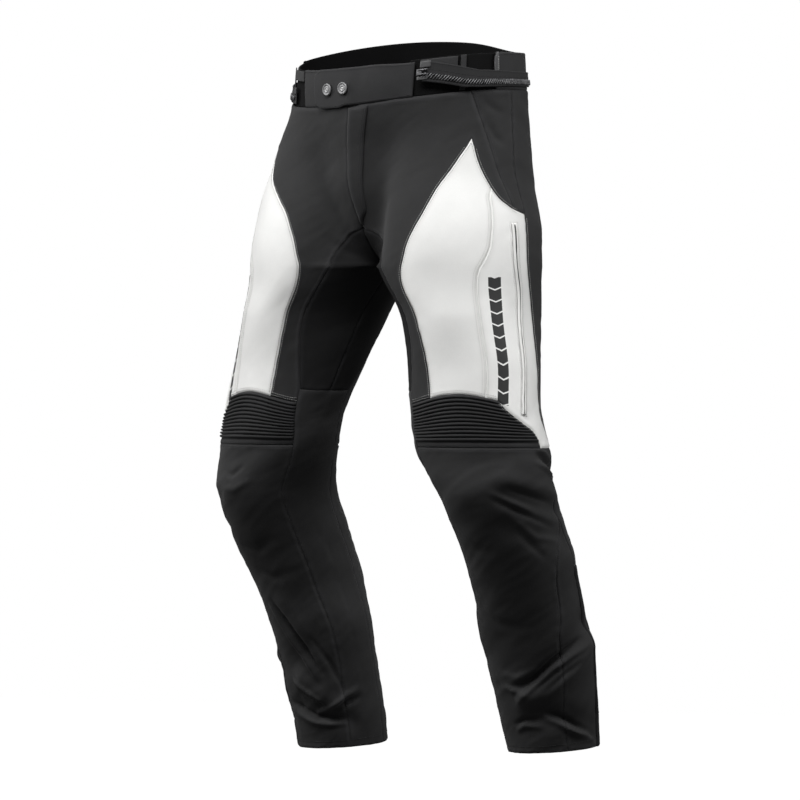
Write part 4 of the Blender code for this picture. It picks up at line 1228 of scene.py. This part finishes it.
cap_finish, cap_tree, cap_shader = new_finish("worn_nickel_plate", Metallic=0.6, Roughness=0.5)
cap_space = put(cap_tree, "ShaderNodeTexCoord")
cap_scratch = put(cap_tree, "ShaderNodeTexNoise", {"Scale": 420.0, "Detail": 4.0},
                  {"Vector": cap_space.outputs["Object"]})
cap_middle = put(cap_tree, "ShaderNodeAttribute", attribute_name="from_middle")
cap_wear = put(cap_tree, "ShaderNodeValToRGB", links={
    "Fac": reckon(cap_tree, "MULTIPLY_ADD", cap_scratch.outputs["Fac"], 0.35, cap_middle.outputs["Fac"])})
cap_wear.color_ramp.elements[0].position, cap_wear.color_ramp.elements[0].color = 0.30, tone("#bdbdbd")
cap_wear.color_ramp.elements[1].position, cap_wear.color_ramp.elements[1].color = 0.75, tone("#858586")
cap_tree.links.new(cap_wear.outputs["Color"], cap_shader.inputs["Base Color"])
cap_bump = put(cap_tree, "ShaderNodeBump", {"Strength": 0.35, "Distance": 0.0001},
               {"Height": cap_scratch.outputs["Fac"]})
cap_tree.links.new(cap_bump.outputs["Normal"], cap_shader.inputs["Normal"])

# The pressed rings, from the middle out and round the rolled rim to the back. Columns: radius, rise.
CAP = (
    (0.0007, 0.0022), (0.0014, 0.0021), (0.0019, 0.0014), (0.0025, 0.0014), (0.0032, 0.0024), (0.0041, 0.0025),
    (0.0049, 0.0017), (0.0058, 0.0016), (0.0068, 0.0024), (0.0079, 0.0028), (0.0088, 0.0024), (0.0092, 0.0016),
    (0.0092, 0.0008), (0.0086, 0.0001), (0.0060, 0.0000),
)
CAP_STANDS_AT, CAP_STEPS = 0.0064, 40
for node, around in (("snap_cap_outer", -0.064), ("snap_cap_inner", -0.010)):
    middle, facing = waist_point(around, 0.0155, CAP_STANDS_AT), outward(around, 0.0155)
    across = np.cross([0.0, 0.0, 1.0], facing)
    across = across / np.linalg.norm(across)
    upright = np.cross(facing, across)
    points, quads, far = [middle + facing * 0.0022], [], [0.0]
    for radius, rise in CAP:
        for k in range(CAP_STEPS):
            turn = 2 * pi * k / CAP_STEPS
            points.append(middle + (across * np.cos(turn) + upright * np.sin(turn)) * radius + facing * rise)
            far.append(radius / 0.0092)
    for k in range(CAP_STEPS):
        quads.append((0, 1 + k, 1 + (k + 1) % CAP_STEPS))
    for ring in range(len(CAP) - 1):
        a, b = 1 + ring * CAP_STEPS, 1 + (ring + 1) * CAP_STEPS
        for k in range(CAP_STEPS):
            n = (k + 1) % CAP_STEPS
            quads.append((a + k, b + k, b + n, a + n))
    points.append(middle)
    far.append(1.0)
    last = 1 + (len(CAP) - 1) * CAP_STEPS
    for k in range(CAP_STEPS):
        quads.append((len(points) - 1, last + (k + 1) % CAP_STEPS, last + k))
    cap = make_piece("cap_" + node[9:], points, quads, [cap_finish], node)
    cap.data.attributes.new("from_middle", "FLOAT", "POINT").data.foreach_set("value", far)


# Sewing
# Lockstitches in polyester thread: black on the black cloth, off-white on the white, and a pale contrast
# double row where the black shell meets the top of the stretch knee. The real stitch is 3 mm long.


def stitch_shape(tree):
    """One stitch: a short bead of thread, round across and tapered at both ends."""
    bead = put(tree, "GeometryNodeMeshUVSphere", {"Segments": 6, "Rings": 4, "Radius": 0.5})
    return put(tree, "GeometryNodeTransform", {"Rotation": (0.0, radians(90), 0.0)},
               {"Geometry": bead.outputs["Mesh"]}).outputs[0]


lockstitch = repeat_tree("lockstitch", stitch_shape)
STITCH_PITCH = 0.0033
under = {side: BVHTree.FromPolygons(*sewn_faces[side]) for side in (+1, -1)}
threads = {"black": [], "white": [], "contrast": []}


def lay_stitches(colour, line, ground=None):
    """Spaces stitches evenly along a line of (point, facing) pairs, on the cloth below it."""
    points = np.array([p for p, n in line])
    facings = np.array([n for p, n in line])
    gone = np.concatenate([[0], np.cumsum(np.linalg.norm(np.diff(points, axis=0), axis=1))])
    for s in np.arange(STITCH_PITCH / 2, gone[-1], STITCH_PITCH):
        p = np.array([np.interp(s, gone, points[:, k]) for k in range(3)])
        q = np.array([np.interp(min(s + 0.001, gone[-1]), gone, points[:, k]) for k in range(3)])
        n = np.array([np.interp(s, gone, facings[:, k]) for k in range(3)])
        if ground is not None:
            found, normal, _, far = ground.find_nearest(Vector(p))
            if found is not None and far < 0.012:
                p, q = np.array(found), np.array(found) + (q - p)
                n = np.array(normal) if np.dot(np.array(normal), n) > 0 else -np.array(normal)
        run = q - p
        if np.linalg.norm(run) > 1e-9:
            threads[colour].append((p + n * 0.00016, run / np.linalg.norm(run), n / np.linalg.norm(n)))


def beside(side, seam, top, bottom, offset, colour, steps=90):
    """A row of stitches that keeps the same distance from a seam, on one side of it, in metres."""
    heights = np.linspace(top, bottom, steps)
    arounds = np.array([value_at(seam, h) for h in heights])
    p, n = cloth(side, arounds, heights)
    along_seam = np.gradient(p, axis=0)
    along_seam /= np.linalg.norm(along_seam, axis=1, keepdims=True)
    across = np.cross(along_seam, n) * side
    lay_stitches(colour, list(zip(p + across * offset, n)), under[side])


def level(side, height, start, end, offset, colour, steps=60):
    """A row of stitches that runs across at one height."""
    arounds = np.linspace(start, end, steps)
    p, n = cloth(side, arounds, np.full(steps, height + offset))
    lay_stitches(colour, list(zip(p, n)), under[side])


# Rows beside the seams. Columns: seam, top, foot, how far beside it (+ is towards the front) and thread.
SEWN_ROWS = (
    (white_front, -0.082, -0.443, +0.0026, "black"),
    (white_front, -0.090, -0.443, -0.0026, "white"),
    (white_top, -0.084, -0.180, -0.0026, "black"),
    (white_top, -0.092, -0.180, +0.0026, "white"),
    (front_side, -0.156, -0.443, +0.0026, "white"),
    (front_side, -0.156, -0.443, -0.0026, "white"),
    (front_side, -0.156, -0.443, -0.0062, "white"),
    (pocket_line, -0.014, -0.172, +0.0026, "black"),
    (pocket_line, -0.014, -0.172, +0.0062, "black"),
    (side_seam, -0.014, -0.180, +0.0026, "black"),
    (side_seam, -0.014, -0.180, -0.0026, "black"),
    (side_seam, -0.190, -0.520, +0.0026, "white"),
    (side_seam, -0.190, -0.520, -0.0026, "black"),
    (gusset_front, -0.212, -0.426, +0.0026, "black"),
    (strip_edge, -0.450, -0.520, -0.0024, "white"),
    (shin_outer, -0.604, -0.958, +0.0026, "black"),
    (shin_outer, -0.604, -0.958, -0.0026, "black"),
    (calf_zip_seam, -0.530, -0.700, -0.0026, "black"),
    (knee_inner, -0.530, -0.958, -0.0026, "black"),
    (INNER_BACK, -0.440, -0.958, +0.0026, "black"),
    (gusset_back, -0.212, -0.426, +0.0026, "black"),
    (lambda h: 0.004, -0.205, -0.012, +0.0026, "black"),
)
for side, tail in SIDES:
    for seam, top, foot, offset, colour in SEWN_ROWS:
        beside(side, seam, top, foot, -offset, colour)
    for lip in (-CARGO_HALF - 0.004, CARGO_HALF + 0.004):
        beside(side, lambda h: cargo_line(h) + lip, -0.196, -0.465, 0.0, "white")
    for end in (-0.196, -0.465):
        level(side, end, cargo_line(end) - 0.011, cargo_line(end) + 0.011, 0.0, "white", 12)
    for start, end, colour in ((knee_inner(RIBS_TOP), 0.178, "contrast"), (0.178, 0.314, "white"),
                               (0.314, 0.340, "contrast")):
        for offset in (0.0024, 0.0056):
            level(side, RIBS_TOP, start, end, offset, colour)
    level(side, KNEE_SEAM, knee_inner(KNEE_SEAM), 0.515, -0.0026, "black")
    level(side, KNEE_SEAM, knee_inner(KNEE_SEAM), 0.440, 0.0026, "black")
    level(side, KNEE_SEAM, 0.525, 0.925, -0.0026, "black", 120)
    for offset in (0.0120, 0.0024):
        level(side, HEM, 0.090, 0.485, offset, "black", 120)
        level(side, HEM, 0.515, 1.075, offset, "black", 160)

# The fly flap's edge and the band's top and bottom edges.
for inset in (0.0050, 0.0110):
    heights = np.linspace(-0.016, -0.184, 80)
    p, n = cloth(+1, np.array([flap_edge(h) for h in heights]) - inset, heights, 0.0028)
    lay_stitches("black", list(zip(p, n)), under[+1])


def along_band(start, end, height, out, colour="black", steps=160):
    arounds = np.linspace(start, end, steps)
    heights = np.array([value_at(height, a) for a in arounds])
    outs = np.array([value_at(out, a) for a in arounds])
    p = waist_point(arounds, heights, outs + 0.0002)
    lay_stitches(colour, list(zip(p, outward(arounds, heights))))


for edge, inset in ((tab_top, -0.0030), (tab_foot, 0.0030)):
    along_band(TAB_END + 0.010, FRONT_END - 0.006, lambda a: edge(a) + inset, lambda a: tab_out(a) + 0.0002)
for height in (BAND_TOP - 0.0030, BAND_FOOT + 0.0030):
    along_band(-FRONT_END + 0.006, TAB_END - 0.004, height, 0.0002, steps=30)
along_band(BACK_START + 0.020, 2 - BACK_START - 0.020, BAND_TOP - 0.0030, 0.0002)
for share in (0.06, 0.62, 0.94):
    along_band(0.225, 1.744, lambda a: tape_height(a, share), tape_out)
for side, tail in SIDES:
    for edge in (0.4465, 0.4545):
        around = edge if side > 0 else 2 - edge
        heights = np.linspace(0.003, 0.038, 20)
        p = waist_point(np.full(20, around), heights, np.full(20, 0.0018))
        facings = outward(np.full(20, around), heights)
        lay_stitches("contrast" if edge > 0.45 else "black", list(zip(p, facings)))

# Twisted polyester thread, dull, with its twist as a fine grain.
for colour, finish, shade, light in (
        ("black", "black_polyester_thread", "#1c1c1d", "#2e2e30"),
        ("white", "off_white_polyester_thread", "#b9b9b6", "#d6d6d3"),
        ("contrast", "pale_contrast_thread", "#8f8f8d", "#c8c8c5")):
    repeat("thread_" + colour, lockstitch, threads[colour],
           grained_finish(finish, 1500.0, 1.0, shade, light, 0.4, Roughness=0.6)[0], "zip_tape",
           Length=0.0026, Width=0.0006, Height=0.0005, Unevenness=0.08)


# Studio
# A long lens from the front left of the wearer, level with the hips, as in the photograph. The floor is
# pale. A large soft light hangs above and in front, and weaker ones stand at both sides and behind.

AZIMUTH, ELEVATION = radians(40), radians(1)
DISTANCE, FRAME_WIDTH = 40.0, 1.176
LIT_HEIGHT = -0.30
FLOOR_HALF, FLOOR_HEIGHT = 9, -1.25
right_way = Vector((np.cos(AZIMUTH), np.sin(AZIMUTH), 0))
aim = right_way * -0.014 + Vector((0, 0, -0.4595))
away = Vector((np.sin(AZIMUTH) * np.cos(ELEVATION), -np.cos(AZIMUTH) * np.cos(ELEVATION),
               np.sin(ELEVATION)))
camera = bpy.data.objects.new("camera", bpy.data.cameras.new("camera"))
camera.data.lens = 36.0 * DISTANCE / FRAME_WIDTH
camera.data.sensor_width = 36.0
camera.data.clip_end = 100
camera.location = aim + away * DISTANCE
camera.rotation_euler = (-away).to_track_quat("-Z", "Y").to_euler()
bpy.context.scene.collection.objects.link(camera)
bpy.context.scene.camera = camera
bpy.context.scene.view_settings.view_transform = "Standard"

world = bpy.data.worlds.new("studio")
world.use_nodes = True
bpy.context.scene.world = world
sky = world.node_tree
sky.nodes.clear()
ray = put(sky, "ShaderNodeLightPath")
fill = put(sky, "ShaderNodeBackground", {"Color": (1, 1, 1, 1), "Strength": 0.12})
paper = put(sky, "ShaderNodeBackground", {"Color": (1, 1, 1, 1), "Strength": 1.0})
mixed = put(sky, "ShaderNodeMixShader", links={
    0: ray.outputs["Is Camera Ray"], 1: fill.outputs[0], 2: paper.outputs[0]})
put(sky, "ShaderNodeOutputWorld", links={"Surface": mixed.outputs[0]})


def softbox(name, azimuth, height, distance, width, tall, power):
    lamp = bpy.data.lights.new(name, "AREA")
    lamp.shape = "RECTANGLE"
    lamp.size, lamp.size_y, lamp.energy = width, tall, power
    stand = bpy.data.objects.new(name, lamp)
    a = radians(azimuth)
    stand.location = (np.sin(a) * distance, -np.cos(a) * distance, height)
    stand.rotation_euler = (Vector((0, 0, LIT_HEIGHT)) - stand.location).to_track_quat("-Z", "Y").to_euler()
    bpy.context.scene.collection.objects.link(stand)


# Columns: light, azimuth in degrees, height, distance, width, tallness and power.
for light in (
        ("top_light", 17, 2.2, 2.0, 2.0, 1.3, 97), ("left_light", -56, 0.9, 2.4, 1.4, 1.4, 31),
        ("right_light", 116, 1.0, 2.4, 1.2, 1.4, 31), ("back_light", 215, 1.4, 2.8, 1.4, 1.4, 25)):
    softbox(*light)

floor_mesh = bpy.data.meshes.new("floor")
floor_mesh.from_pydata([(x * FLOOR_HALF, y * FLOOR_HALF, FLOOR_HEIGHT)
                        for x, y in ((-1, -1), (1, -1), (1, 1), (-1, 1))], [], [(0, 1, 2, 3)])
floor = bpy.data.objects.new("floor", floor_mesh)
floor_finish, floor_shader = grained_finish("pale_studio_paper", 40.0, 4.0, "#f1f1f0", "#f6f6f5", 0,
                                           Roughness=0.9)
floor_shader.inputs["Emission Color"].default_value = (1, 1, 1, 1)
floor_shader.inputs["Emission Strength"].default_value = 0.90
floor_mesh.materials.append(floor_finish)
floor.visible_diffuse = False
floor.visible_glossy = False
bpy.context.scene.collection.objects.link(floor)
